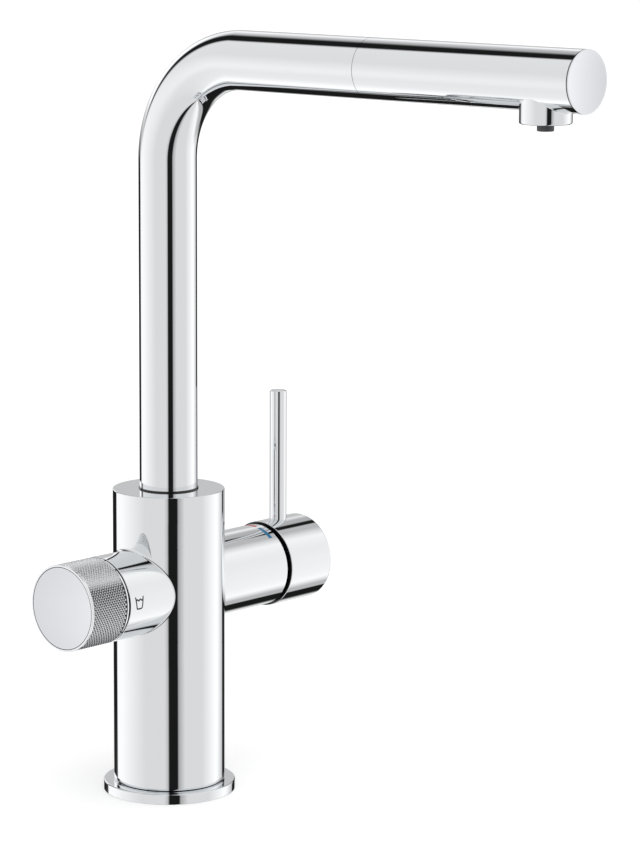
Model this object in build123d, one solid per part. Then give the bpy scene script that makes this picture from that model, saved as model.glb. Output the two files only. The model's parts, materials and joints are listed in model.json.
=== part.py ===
"""Water filter kitchen tap: side mixer lever, side filter knob, swivelling spout and pull-out outlet head.

Millimetres, +Z up. The origin is the centre of the base ring's underside, where the tap meets the
worktop. The spout points along -Y, the filter knob along -X and the mixer handle along +X.
"""

import math
import os

from build123d import *

# Clearances, all on the radius or on one side
FIT = 0.05  # screwed, brazed and pressed joints
RUNNING = 0.07  # turning and sliding fits
SEAM = 0.2  # hairline between visible covers that part
LOOSE = 0.3  # parts that only pass each other
FILM = 0.02  # between lapped ceramic discs

# Worktop fixing
WORKTOP = 40.0
SHANK_RADIUS = 16.5
SHANK_WALL = 3.0
SHANK_HEAD_HEIGHT = 12.0
SHANK_FREE_END = 12.0
SHANK_LEAD_IN = 1.0
CLAMP_RADIUS = 28.0
CLAMP_GASKET = 3.0
CLAMP_WASHER = 2.0
CLAMP_NUT_HEIGHT = 9.0
CLAMP_NUT_FLATS = 41.0
CLAMP_NUT_FLANGE = 24.0
CLAMP_NUT_FLANGE_HEIGHT = 2.5

# Body
BODY_RADIUS = 25.0
BODY_TOP = 137.5
BODY_WALL = 3.2
BODY_EDGE = 0.4
BASE_LEDGE = 4.6
BASE_HEIGHT = 4.6
BASE_EDGE = 0.6
FOOT_GASKET_WIDTH = 3.2
FOOT_GASKET_DEPTH = 1.9
FOOT_GASKET_INSET = 3.0
CAVITY_ROOF_DROP = 31.4
HOSE_PASSAGE_RADIUS = 9.5
SIDE_AXIS_HEIGHT = 93.4
POCKET_WEB = 7.5
SLEEVE_FILLET = 1.0

# Hose sockets in the roof of the body's cavity
SOCKET_RADIUS = 4.0
SOCKET_DEPTH = 10.0
SOCKET_CIRCLE = 14.6
CHANNEL_CIRCLE = 13.3
CHANNEL_RADIUS = 2.2
CHANNEL_OVERRUN = 0.6
MIXER_FEED_ANGLE = 38.0
FILTER_FEED_ANGLE = 26.0

# Spout
TUBE_RADIUS = 12.94
TUBE_WALL = 1.5
SPOUT_HEIGHT = 329.85
BEND_RADIUS = 45.2
SEAM_REACH = 118.3
SPOUT_SOCKET_DEPTH = 32.5
FOOT_SPIGOT = 14.0
FOOT_SKIRT = 14.7
SWIVEL_RING_HEIGHT = 3.0
SWIVEL_RING_SEAT = 1.7
UPPER_RING_HEIGHT = 5.0
UPPER_RING_WIDTH = 2.0
UPPER_RING_DEPTH = 4.4
SWIVEL_RING_SLIT = 2.0
STOP_GROOVE_DEPTH = 1.9
STOP_SCREW_HEIGHT = 10.0
STOP_SCREW_RADIUS = 2.5
STOP_DOG_RADIUS = 1.9
STOP_DOG_LENGTH = 2.5
STOP_SCREW_RECESS = 1.5
GRUB_SCREW_KEY_DEPTH = 3.0
SWIVEL_HALF_ANGLE = 75.0
STOP_SPARE_ANGLE = 10.0

# Dock at the spout's open end
DOCK_LENGTH = 18.0
DOCK_SOCKET_RADIUS = 9.6
DOCK_SOCKET_DEPTH = 12.5
CONNECTOR_RADIUS = 7.92
CONNECTOR_LENGTH = 66.0
CONNECTOR_TAPER = 20.0
CONNECTOR_TAIL_RADIUS = 6.4
CONNECTOR_BORE = 4.6

# Pull-out head
HEAD_END_REACH = 230.1
HEAD_WALL = 1.5
HEAD_END_WALL = 2.0
HEAD_EDGE = 0.45
OUTLET_SETBACK = 20.5
OUTLET_RADIUS = 10.7
OUTLET_WALL = 1.0
OUTLET_DROP = 17.75
OUTLET_EDGE = 0.8
NOZZLE_RADIUS = 3.47
NOZZLE_BORE = 2.0
NOZZLE_PROUD = 2.9
NOZZLE_EDGE = 0.4
AERATOR_INSET = 0.5
AERATOR_HEIGHT = 7.0
AERATOR_RIM = 1.3
AERATOR_SLOTS = 8
AERATOR_SLOT_RADIUS = 1.2
SCREEN_THICKNESS = 1.0
SCREEN_INSET = 1.2
SCREEN_BANDS = 5
SCREEN_SPOKE = 0.8
OUTLET_SEAL_HEIGHT = 1.4
WATERWAY_NECK = 11.0
WATERWAY_WALL = 1.0
WATERWAY_MIXED_RADIUS = 4.0
WATERWAY_MIXED_RISE = 3.6
WATERWAY_FILTERED_RADIUS = 2.3
WATERWAY_FILTERED_DROP = 6.2
VALVE_INSERT_LENGTH = 9.0
VALVE_INSERT_WALL = 0.9

# Mixer on the +X side: distances out from the body's axis
MIXER_SLEEVE_WALL = 3.2
CARTRIDGE_RADIUS = 14.0
CARTRIDGE_WALL = 1.6
PORT_STANDOFF = 0.2
PORT_PLATE = 5.0
PORT_RADIUS = 2.0
PORT_SEAL_SECTION = 0.8
INLET_RISE = 5.0
INLET_SIDE = 4.2
INLET_STEP = 1.0
OUTLET_PORT_DROP = 3.5
FIXED_DISC = 3.5
FIXED_DISC_ROOM = 0.2
MIXING_DISC = 3.0
MIXING_DISC_ROOM = 0.28
MIXING_CHAMBER_RADIUS = 4.6
MIXING_CHAMBER_DEPTH = 1.6
CARRIER = 4.0
CARRIER_RADIUS = 7.6
TURRET_GAP = 0.28
TURRET_TO_PIVOT = 9.0
TURRET_FLANGE = 2.5
TURRET_NECK_RADIUS = 9.5
TURRET_ABOVE_PIVOT = 5.0
SPINDLE_RADIUS = 3.4
SPINDLE_NECK_RADIUS = 1.5
SPINDLE_BALL_RADIUS = 2.0
SPINDLE_ARM = 11.0
SPINDLE_EYE_LENGTH = 5.1
SPINDLE_SQUARE = 6.5
SPINDLE_SWING = 5.6
PIVOT_PIN_RADIUS = 1.5
HOUSING_LIP = 2.8
HOUSING_SHOULDER_WIDTH = 2.1
HOUSING_COLLAR = 7.5
NUT_HEIGHT = 10.0
NUT_THREAD_STEP = 1.4
NUT_SLOTS = 6
NUT_SLOT_WIDTH = 4.0
NUT_SLOT_DEPTH = 2.5
COVER_RING_WALL = 1.0
COVER_RING_SEAT = 2.5
COVER_RING_SPIGOT = 6.0
COVER_RING_GAP = 1.8
COVER_RING_PROUD = 1.8

# Mixer handle
HANDLE_GAP = 2.0
HANDLE_OVERHANG = 0.9
HANDLE_TILT = 20.0
HANDLE_LENGTH = 27.0
HANDLE_RIM_WALL = 1.3
HANDLE_HOLLOW = 6.0
HANDLE_EDGE = 0.8
HANDLE_REAR_EDGE = 0.35
HANDLE_SOCKET_DEPTH = 12.0
LEVER_RADIUS = 3.86
LEVER_SETBACK = 15.4
LEVER_RISE = 79.5
LEVER_SEAT = 8.6
LEVER_EDGE = 0.4
HANDLE_SCREW_RADIUS = 2.5
HANDLE_SCREW_RECESS = 1.6

# Filter valve on the -X side: distances out from the body's axis
FILTER_SLEEVE_RADIUS = 19.15
FILTER_SLEEVE_PAST_VALVE = 3.5
VALVE_THREAD_RADIUS = 8.5
VALVE_THREAD_LENGTH = 17.0
VALVE_STANDOFF = 1.0
VALVE_CHAMBER_RADIUS = 7.3
VALVE_SEAL = 2.5
VALVE_DISC = 3.0
VALVE_PORT_SIDE = 4.2
VALVE_PORT_RADIUS = 1.9
VALVE_MOVING_DISC = 2.5
VALVE_DRIVE = 2.0
VALVE_DRIVE_KEY = 2.4
VALVE_DRIVE_KEY_DEPTH = 1.0
VALVE_DRIVE_KEY_SETBACK = 1.5
VALVE_HEX_FLATS = 17.0
VALVE_HEX_HEIGHT = 5.0
VALVE_SPINDLE_RADIUS = 4.5
VALVE_SQUARE = 6.0
SPINDLE_SEAL_SECTION = 0.6
SPINDLE_SEAL_INSET = 4.0
CLIP_THICKNESS = 1.0
CLIP_RADIUS = 6.5
CLIP_GROOVE = 0.8
WRENCH_RADIUS = 14.0

# Filter knob
KNOB_GAP = 0.35
KNOB_OVERHANG = 0.0
KNOB_LENGTH = 22.55
KNOB_WALL = 2.0
KNOB_WEB = 5.2
KNOB_RIM = 0.9
KNOB_KNURL_DEPTH = 0.12
KNOB_EDGE = 0.25
KNOB_FACE_RIM = 1.1
KNOB_FACE = 1.2
KNOB_INSERT_LENGTH = 12.0
KNOB_SOCKET_ROOF = 1.8
KNOB_SCREW_RADIUS = 1.95
KNOB_SCREW_HEAD_RADIUS = 3.8
KNOB_SCREW_HEAD = 2.0
KNOB_SCREW_LENGTH = 13.0
KNOB_SCREW_KEY_DEPTH = 1.3

# Places worked out from the sizes above
MIXER_SIDE = Plane((0, 0, SIDE_AXIS_HEIGHT), x_dir=(0, 0, 1), z_dir=(1, 0, 0)).location
FILTER_SIDE = Plane((0, 0, SIDE_AXIS_HEIGHT), x_dir=(0, 0, 1), z_dir=(-1, 0, 0)).location
SPOUT_LINE = Plane((0, 0, SPOUT_HEIGHT), x_dir=(0, 0, 1), z_dir=(0, -1, 0)).location

CAVITY_RADIUS = BODY_RADIUS - BODY_WALL
CAVITY_TOP = SIDE_AXIS_HEIGHT - CAVITY_ROOF_DROP
BASE_RADIUS = BODY_RADIUS + BASE_LEDGE
SHANK_BOTTOM = -(WORKTOP + CLAMP_GASKET + CLAMP_WASHER + CLAMP_NUT_HEIGHT + SHANK_FREE_END)
POCKET_FLOOR = HOSE_PASSAGE_RADIUS + POCKET_WEB

SOCKET_FLOOR = BODY_TOP - SPOUT_SOCKET_DEPTH
SOCKET_BORE = TUBE_RADIUS + RUNNING
TUBE_BORE = TUBE_RADIUS - TUBE_WALL
TUBE_FOOT = SOCKET_FLOOR + LOOSE + FOOT_SKIRT
UPPER_RING_TOP = BODY_TOP - UPPER_RING_DEPTH

HEAD_REAR = SEAM_REACH + SEAM
OUTLET_REACH = HEAD_END_REACH - OUTLET_SETBACK
OUTLET_BOTTOM = SPOUT_HEIGHT - OUTLET_DROP
NOZZLE_BOTTOM = OUTLET_BOTTOM - NOZZLE_PROUD
OUTLET_SEAT = OUTLET_BOTTOM + AERATOR_INSET + AERATOR_HEIGHT

PORT_START = POCKET_FLOOR + PORT_STANDOFF
FIXED_START = PORT_START + PORT_PLATE
MIXING_START = FIXED_START + FIXED_DISC + FILM
CARRIER_START = MIXING_START + MIXING_DISC
TURRET_START = CARRIER_START + CARRIER + TURRET_GAP
PIVOT_OUT = TURRET_START + TURRET_TO_PIVOT
HOUSING_BORE = CARTRIDGE_RADIUS - CARTRIDGE_WALL
PLATE_INLET_SIDE = INLET_SIDE + INLET_STEP
MIXING_DISC_DROP = SPINDLE_ARM * math.radians(HANDLE_TILT) / 2
MIXING_DISC_RADIUS = HOUSING_BORE - MIXING_DISC_DROP - MIXING_DISC_ROOM
HOUSING_SHOULDER = TURRET_START + TURRET_FLANGE + FIT + HOUSING_LIP
HOUSING_COLLAR_RADIUS = CARTRIDGE_RADIUS - HOUSING_SHOULDER_WIDTH
NUT_START = HOUSING_SHOULDER + FIT
NUT_END = NUT_START + NUT_HEIGHT
NUT_BORE_RADIUS = HOUSING_COLLAR_RADIUS + LOOSE
NUT_RADIUS = CARTRIDGE_RADIUS + NUT_THREAD_STEP
MIXER_SLEEVE_RADIUS = NUT_RADIUS + MIXER_SLEEVE_WALL
MIXER_SLEEVE_REACH = NUT_END + COVER_RING_GAP + COVER_RING_SPIGOT + COVER_RING_SEAT
HANDLE_RADIUS = MIXER_SLEEVE_RADIUS + HANDLE_OVERHANG
COVER_RADIUS = MIXER_SLEEVE_RADIUS - COVER_RING_WALL
COVER_SEAT = MIXER_SLEEVE_REACH - COVER_RING_SEAT

HANDLE_START = MIXER_SLEEVE_REACH + HANDLE_GAP
HANDLE_END = HANDLE_START + HANDLE_LENGTH
HANDLE_FLOOR = HANDLE_START + HANDLE_HOLLOW
LEVER_OUT = HANDLE_END - LEVER_SETBACK

VALVE_SHOULDER = POCKET_FLOOR + VALVE_STANDOFF + VALVE_THREAD_LENGTH
VALVE_FIXED_START = POCKET_FLOOR + VALVE_SEAL
VALVE_MOVING_START = VALVE_FIXED_START + VALVE_DISC + FILM
VALVE_DRIVE_START = VALVE_MOVING_START + VALVE_MOVING_DISC
VALVE_DRIVE_END = VALVE_DRIVE_START + VALVE_DRIVE
VALVE_TOP = VALVE_SHOULDER + VALVE_HEX_HEIGHT
SPINDLE_SEAL_OUT = VALVE_SHOULDER - SPINDLE_SEAL_INSET
FILTER_SLEEVE_REACH = VALVE_TOP + FILTER_SLEEVE_PAST_VALVE

KNOB_RADIUS = FILTER_SLEEVE_RADIUS + KNOB_OVERHANG
KNOB_START = FILTER_SLEEVE_REACH + KNOB_GAP
KNOB_END = KNOB_START + KNOB_LENGTH
KNOB_FACE_START = KNOB_END - KNOB_FACE
KNOB_WEB_START = KNOB_FACE_START - KNOB_WEB
KNOB_HEAD_START = KNOB_FACE_START - KNOB_SCREW_HEAD
VALVE_SPINDLE_END = KNOB_WEB_START - KNOB_SOCKET_ROOF - SEAM


def disc(radius, low, high):
    """A round bar along Z between two heights."""
    return Pos(0, 0, low) * Cylinder(radius, high - low, align=(Align.CENTER, Align.CENTER, Align.MIN))


def ring(outer, inner, low, high):
    """A round bar with a round hole right through it."""
    return disc(outer, low, high) - disc(inner, low - 1, high + 1)


def bar(width, depth, low, high):
    """A rectangular bar along Z: width along X, depth along Y."""
    return Pos(0, 0, low) * Box(width, depth, high - low, align=(Align.CENTER, Align.CENTER, Align.MIN))


def hexagon(flats, low, high):
    """A hexagonal bar along Z, given across its flats."""
    outline = RegularPolygon(flats / 2, 6, major_radius=False)
    return extrude(Pos(0, 0, low) * outline, high - low)


def cross_hole(radius, start, end, height):
    """A round bar along X from start to end, at a height on Z."""
    return Pos(start, 0, height) * Rot(0, 90, 0) * disc(radius, 0, end - start)


def rim_edges(shape, height):
    """The round edges of a shape at a height on Z."""
    level = shape.edges().filter_by(GeomType.CIRCLE)
    return level.filter_by_position(Axis.Z, height - 0.01, height + 0.01)


def outer_rim(shape, height):
    """The largest round edge of a shape at a height on Z."""
    return rim_edges(shape, height).sort_by(SortBy.RADIUS)[-1]


# Worktop fixing


def mounting_shank():
    """Hollow shank that screws into the body's foot and carries the hoses through the worktop."""
    head = disc(CAVITY_RADIUS - FIT, BASE_HEIGHT, BASE_HEIGHT + SHANK_HEAD_HEIGHT)
    shank = disc(SHANK_RADIUS, SHANK_BOTTOM, BASE_HEIGHT)
    shank = chamfer(outer_rim(shank, SHANK_BOTTOM), SHANK_LEAD_IN)
    bore = disc(SHANK_RADIUS - SHANK_WALL, SHANK_BOTTOM - 1, BASE_HEIGHT + SHANK_HEAD_HEIGHT + 1)
    return head + shank - bore


def base_ring():
    """Polished ring between the body's foot and the worktop, grooved below for its gasket."""
    plate = disc(BASE_RADIUS, 0, BASE_HEIGHT)
    plate = chamfer(outer_rim(plate, BASE_HEIGHT), BASE_EDGE)
    plate -= disc(SHANK_RADIUS + FIT, -1, BASE_HEIGHT + 1)
    outer = BASE_RADIUS - FOOT_GASKET_INSET
    return plate - ring(outer, outer - FOOT_GASKET_WIDTH, -1, FOOT_GASKET_DEPTH)


def foot_gasket():
    """Flat rubber ring in the groove of the base ring, flush with its underside."""
    outer = BASE_RADIUS - FOOT_GASKET_INSET - FIT
    inner = BASE_RADIUS - FOOT_GASKET_INSET - FOOT_GASKET_WIDTH + FIT
    return ring(outer, inner, 0, FOOT_GASKET_DEPTH)


def clamp_gasket():
    """Rubber washer that presses on the worktop's underside."""
    return ring(CLAMP_RADIUS, SHANK_RADIUS + LOOSE, -WORKTOP - CLAMP_GASKET, -WORKTOP)


def clamp_washer():
    """Steel washer between the rubber washer and the nut."""
    top = -WORKTOP - CLAMP_GASKET
    return ring(CLAMP_RADIUS, SHANK_RADIUS + LOOSE, top - CLAMP_WASHER, top)


def clamp_nut():
    """Flanged hexagon nut on the shank."""
    top = -WORKTOP - CLAMP_GASKET - CLAMP_WASHER
    body = hexagon(CLAMP_NUT_FLATS, top - CLAMP_NUT_HEIGHT, top)
    body += disc(CLAMP_NUT_FLANGE, top - CLAMP_NUT_FLANGE_HEIGHT, top)
    return body - disc(SHANK_RADIUS + FIT, top - CLAMP_NUT_HEIGHT - 1, top + 1)


# Body


def feed(angle, side, rise):
    """Hose socket in the cavity's roof and the channel from it to a port in a pocket's floor."""
    port_height = SIDE_AXIS_HEIGHT + rise
    channel_x = Vector(CHANNEL_CIRCLE, 0, 0).rotate(Axis.Z, angle).X
    pocket_x = math.copysign(POCKET_FLOOR + 1, channel_x)
    socket = Pos(SOCKET_CIRCLE, 0, 0) * disc(SOCKET_RADIUS, CAVITY_TOP - 1, CAVITY_TOP + SOCKET_DEPTH)
    channel_top = port_height + CHANNEL_RADIUS + CHANNEL_OVERRUN
    channel = Pos(CHANNEL_CIRCLE, 0, 0) * disc(CHANNEL_RADIUS, CAVITY_TOP, channel_top)
    port = cross_hole(CHANNEL_RADIUS, min(channel_x, pocket_x), max(channel_x, pocket_x), port_height)
    return Rot(0, 0, angle) * (socket + channel) + Pos(0, side, 0) * port


def spout_socket():
    """Bore in the body's top for the spout's foot, with a groove for the upper swivel ring."""
    bore = disc(SOCKET_BORE, SOCKET_FLOOR, BODY_TOP + 1)
    groove = disc(
        SOCKET_BORE + UPPER_RING_WIDTH,
        UPPER_RING_TOP - UPPER_RING_HEIGHT - FIT,
        UPPER_RING_TOP + FIT,
    )
    return bore + groove


def mixer_pocket():
    """Stepped pocket in the mixer sleeve: cartridge bore, nut thread and cover ring seat."""
    pocket = disc(CARTRIDGE_RADIUS + 2 * FIT, POCKET_FLOOR, MIXER_SLEEVE_REACH + 1)
    pocket += disc(NUT_RADIUS, HOUSING_SHOULDER - HOUSING_LIP / 2, MIXER_SLEEVE_REACH + 1)
    pocket += disc(COVER_RADIUS, COVER_SEAT, MIXER_SLEEVE_REACH + 1)
    return MIXER_SIDE * pocket


def filter_pocket():
    """Stepped pocket in the filter sleeve: threaded valve bore and room for a box spanner."""
    pocket = disc(VALVE_THREAD_RADIUS + FIT, POCKET_FLOOR, FILTER_SLEEVE_REACH + 1)
    pocket += disc(WRENCH_RADIUS, VALVE_SHOULDER, FILTER_SLEEVE_REACH + 1)
    return FILTER_SIDE * pocket


def stop_screw_place():
    """Where the spout's retaining screw lies: its axis points inwards from the back of the body."""
    height = SOCKET_FLOOR + STOP_SCREW_HEIGHT
    return Plane((0, 0, height), x_dir=(1, 0, 0), z_dir=(0, 1, 0)).location


def body_shell():
    """Brass body with the mixer sleeve and the filter sleeve in one casting."""
    body = disc(BODY_RADIUS, BASE_HEIGHT, BODY_TOP)
    body = chamfer(outer_rim(body, BODY_TOP), BODY_EDGE)
    body += MIXER_SIDE * disc(MIXER_SLEEVE_RADIUS, 0, MIXER_SLEEVE_REACH)
    body += FILTER_SIDE * disc(FILTER_SLEEVE_RADIUS, 0, FILTER_SLEEVE_REACH)
    joints = body.edges().filter_by(GeomType.CIRCLE, reverse=True).filter_by(GeomType.LINE, reverse=True)
    body = fillet(joints, SLEEVE_FILLET)
    body -= disc(CAVITY_RADIUS, BASE_HEIGHT - 1, CAVITY_TOP)
    body -= disc(HOSE_PASSAGE_RADIUS, CAVITY_TOP - 1, SOCKET_FLOOR + 1)
    body -= spout_socket()
    body -= mixer_pocket()
    body -= filter_pocket()
    body -= feed(0, 0, -OUTLET_PORT_DROP)
    for side in (-1, 1):
        body -= feed(side * MIXER_FEED_ANGLE, side * (PLATE_INLET_SIDE + INLET_STEP), INLET_RISE)
        body -= feed(180 - side * FILTER_FEED_ANGLE, side * VALVE_PORT_SIDE, 0)
    body -= stop_screw_place() * disc(STOP_SCREW_RADIUS + FIT, TUBE_BORE, BODY_RADIUS + 1)
    return body


# Mixer cartridge


def mixer_ports(side, radius, low, high):
    """The mixed outlet and, either side above it, the hot and cold inlets, as three separate bars."""
    places = [(-OUTLET_PORT_DROP, 0), (INLET_RISE, side), (INLET_RISE, -side)]
    return [Pos(x, y, 0) * disc(radius, low, high) for x, y in places]


def cartridge_base():
    """Port plate at the bottom of the cartridge, with a counterbore round each port for its seal."""
    plate = disc(CARTRIDGE_RADIUS, PORT_START, FIXED_START)
    plate -= mixer_ports(PLATE_INLET_SIDE, PORT_RADIUS, PORT_START - 1, FIXED_START + 1)
    seat = PORT_RADIUS + 2 * PORT_SEAL_SECTION
    plate -= mixer_ports(PLATE_INLET_SIDE, seat, PORT_START - 1, PORT_START + PORT_SEAL_SECTION)
    return MIXER_SIDE * plate


def cartridge_seals():
    """Three rubber rings between the pocket's floor and the port plate."""
    outer = PORT_RADIUS + 2 * PORT_SEAL_SECTION - FIT
    discs = mixer_ports(PLATE_INLET_SIDE, outer, POCKET_FLOOR, PORT_START + PORT_SEAL_SECTION)
    holes = mixer_ports(PLATE_INLET_SIDE, PORT_RADIUS + FIT, POCKET_FLOOR - 1, FIXED_START)
    return MIXER_SIDE * Compound([seal - hole for seal, hole in zip(discs, holes)])


def fixed_disc():
    """Fixed ceramic disc with the hot, cold and mixed ports."""
    top = FIXED_START + FIXED_DISC
    plate = disc(HOUSING_BORE - FIXED_DISC_ROOM, FIXED_START, top)
    return MIXER_SIDE * (plate - mixer_ports(INLET_SIDE, PORT_RADIUS, FIXED_START - 1, top + 1))


def mixing_disc():
    """Sliding ceramic disc: lifted, its mixing chamber joins the inlets to the outlet."""
    plate = disc(MIXING_DISC_RADIUS, MIXING_START, CARRIER_START)
    chamber = disc(MIXING_CHAMBER_RADIUS, MIXING_START - 1, MIXING_START + MIXING_CHAMBER_DEPTH)
    return MIXER_SIDE * Pos(-MIXING_DISC_DROP, 0, 0) * (plate - chamber)


def disc_carrier():
    """Plastic carrier on the sliding disc, with the slot that the spindle's ball pushes."""
    plate = Pos(-MIXING_DISC_DROP, 0, 0) * disc(CARRIER_RADIUS, CARRIER_START, CARRIER_START + CARRIER)
    slot = bar(
        2 * (SPINDLE_BALL_RADIUS + 2 * RUNNING),
        2 * (SPINDLE_BALL_RADIUS + LOOSE),
        CARRIER_START - 1,
        CARRIER_START + CARRIER + 1,
    )
    return MIXER_SIDE * (plate - slot)


def mixer_turret():
    """Turning plastic core of the cartridge, slotted for the spindle."""
    core = disc(HOUSING_BORE - 2 * LOOSE, TURRET_START, TURRET_START + TURRET_FLANGE)
    core += disc(TURRET_NECK_RADIUS, TURRET_START, PIVOT_OUT + TURRET_ABOVE_PIVOT)
    core -= bar(
        2 * SPINDLE_SWING,
        2 * (SPINDLE_RADIUS + RUNNING),
        TURRET_START - 1,
        PIVOT_OUT + TURRET_ABOVE_PIVOT + 1,
    )
    pin = Rot(90, 0, 0) * disc(PIVOT_PIN_RADIUS + FIT, -CARTRIDGE_RADIUS, CARTRIDGE_RADIUS)
    return MIXER_SIDE * (core - Pos(0, 0, PIVOT_OUT) * pin)


def pivot_pin():
    """Steel pin through the turret that the spindle tilts on."""
    half = TURRET_NECK_RADIUS - LOOSE
    return MIXER_SIDE * Pos(0, 0, PIVOT_OUT) * Rot(90, 0, 0) * disc(PIVOT_PIN_RADIUS, -half, half)


def mixer_spindle():
    """Steel spindle: a ball that drives the sliding disc, an eye on the pivot pin and a square end."""
    ball_out = PIVOT_OUT - SPINDLE_ARM
    eye_start = PIVOT_OUT - SPINDLE_EYE_LENGTH
    square_start = PIVOT_OUT + TURRET_ABOVE_PIVOT + LOOSE
    spindle = Pos(0, 0, ball_out) * Sphere(SPINDLE_BALL_RADIUS)
    spindle += disc(SPINDLE_NECK_RADIUS, ball_out, eye_start)
    spindle += disc(SPINDLE_RADIUS, eye_start, square_start)
    spindle += bar(SPINDLE_SQUARE, SPINDLE_SQUARE, square_start, HANDLE_FLOOR + HANDLE_SOCKET_DEPTH - LOOSE)
    pin = Rot(90, 0, 0) * disc(PIVOT_PIN_RADIUS + RUNNING, -CARTRIDGE_RADIUS, CARTRIDGE_RADIUS)
    return MIXER_SIDE * (spindle - Pos(0, 0, PIVOT_OUT) * pin)


def cartridge_housing():
    """Plastic can round the discs and the turret, with the collar that the nut slides over."""
    lip_start = TURRET_START + TURRET_FLANGE + FIT
    can = disc(CARTRIDGE_RADIUS, FIXED_START, HOUSING_SHOULDER)
    can += disc(HOUSING_COLLAR_RADIUS, HOUSING_SHOULDER, HOUSING_SHOULDER + HOUSING_COLLAR)
    can -= disc(HOUSING_BORE, FIXED_START - 1, lip_start)
    return MIXER_SIDE * (can - disc(TURRET_NECK_RADIUS + RUNNING, lip_start - 1, MIXER_SLEEVE_REACH))


def cartridge_nut():
    """Slotted brass nut that holds the cartridge down in the mixer sleeve."""
    nut = ring(NUT_RADIUS - FIT, NUT_BORE_RADIUS, NUT_START, NUT_END)
    slot = Pos(NUT_RADIUS, 0, 0) * bar(
        2 * NUT_RADIUS, NUT_SLOT_WIDTH, NUT_END - NUT_SLOT_DEPTH, NUT_END + 1
    )
    for place in PolarLocations(0, NUT_SLOTS):
        nut -= place * slot
    return MIXER_SIDE * nut


def cover_ring():
    """Black ring that closes the mixer sleeve and shows in the gap behind the handle."""
    band = disc(COVER_RADIUS - FIT, COVER_SEAT, MIXER_SLEEVE_REACH + COVER_RING_PROUD)
    band += disc(NUT_RADIUS - FIT, COVER_SEAT - COVER_RING_SPIGOT, COVER_SEAT)
    return MIXER_SIDE * (band - disc(NUT_BORE_RADIUS, 0, HANDLE_END))


# Mixer handle


def handle_cap():
    """Handle: a thick cup whose rim passes round the mixer sleeve when it tilts."""
    cap = disc(HANDLE_RADIUS, HANDLE_START, HANDLE_END)
    cap = fillet(outer_rim(cap, HANDLE_END), HANDLE_EDGE)
    cap = chamfer(outer_rim(cap, HANDLE_START), HANDLE_REAR_EDGE)
    cap -= disc(HANDLE_RADIUS - HANDLE_RIM_WALL, HANDLE_START - 1, HANDLE_FLOOR)
    side = SPINDLE_SQUARE + 2 * FIT
    cap -= bar(side, side, HANDLE_FLOOR - 1, HANDLE_FLOOR + HANDLE_SOCKET_DEPTH)
    cap -= cross_hole(LEVER_RADIUS + FIT, LEVER_SEAT - FIT, HANDLE_RADIUS + 1, LEVER_OUT)
    cap -= cross_hole(HANDLE_SCREW_RADIUS + FIT, -HANDLE_RADIUS - 1, 0, LEVER_OUT)
    return MIXER_SIDE * cap


def handle_lever():
    """Round lever rod that stands up from the handle."""
    rod = disc(LEVER_RADIUS, LEVER_SEAT, LEVER_RISE)
    rod = chamfer(outer_rim(rod, LEVER_RISE), LEVER_EDGE)
    return Pos(LEVER_OUT, 0, SIDE_AXIS_HEIGHT) * rod


def handle_screw():
    """Grub screw under the handle, tightened on the spindle's square."""
    screw_head = HANDLE_RADIUS - HANDLE_SCREW_RECESS
    screw = disc(HANDLE_SCREW_RADIUS, SPINDLE_SQUARE / 2, screw_head)
    key = hexagon(HANDLE_SCREW_RADIUS, screw_head - GRUB_SCREW_KEY_DEPTH, screw_head + 1)
    return Pos(LEVER_OUT, 0, SIDE_AXIS_HEIGHT) * Rot(180, 0, 0) * (screw - key)


# Filter valve


def valve_ports(radius, low, high):
    """The two water ways of the filter valve, as bars to cut."""
    ways = Pos(0, VALVE_PORT_SIDE, 0) * disc(radius, low, high)
    return ways + Pos(0, -VALVE_PORT_SIDE, 0) * disc(radius, low, high)


def valve_body():
    """Brass body of the filter valve, screwed into its sleeve."""
    body = disc(VALVE_THREAD_RADIUS, POCKET_FLOOR + VALVE_STANDOFF, VALVE_SHOULDER)
    body += hexagon(VALVE_HEX_FLATS, VALVE_SHOULDER, VALVE_TOP)
    body -= disc(VALVE_CHAMBER_RADIUS, POCKET_FLOOR, VALVE_DRIVE_END + LOOSE)
    return FILTER_SIDE * (body - disc(VALVE_SPINDLE_RADIUS + RUNNING, POCKET_FLOOR, VALVE_TOP + 1))


def valve_seal():
    """Rubber seal between the pocket's floor and the fixed disc."""
    seal = disc(VALVE_CHAMBER_RADIUS - 2 * FIT, POCKET_FLOOR, VALVE_FIXED_START)
    return FILTER_SIDE * (seal - valve_ports(VALVE_PORT_RADIUS, POCKET_FLOOR - 1, VALVE_FIXED_START + 1))


def valve_fixed_disc():
    """Fixed ceramic disc of the filter valve."""
    top = VALVE_FIXED_START + VALVE_DISC
    plate = disc(VALVE_CHAMBER_RADIUS - 2 * FIT, VALVE_FIXED_START, top)
    return FILTER_SIDE * (plate - valve_ports(VALVE_PORT_RADIUS, VALVE_FIXED_START - 1, top + 1))


def valve_moving_disc():
    """Turning ceramic disc: two open quarters let the water through after a quarter turn."""
    plate = disc(VALVE_CHAMBER_RADIUS - LOOSE, VALVE_MOVING_START, VALVE_DRIVE_START)
    for side in (-1, 1):
        notch = Pos(side * VALVE_CHAMBER_RADIUS, 0, 0) * bar(
            2 * VALVE_PORT_SIDE, 2 * VALVE_PORT_RADIUS, VALVE_MOVING_START - 1, VALVE_DRIVE_START + 1
        )
        plate -= notch
    key = bar(
        VALVE_DRIVE_KEY + 2 * FIT,
        2 * VALVE_CHAMBER_RADIUS,
        VALVE_DRIVE_START - VALVE_DRIVE_KEY_DEPTH - FIT,
        VALVE_DRIVE_START + 1,
    )
    return FILTER_SIDE * (plate - key)


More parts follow.
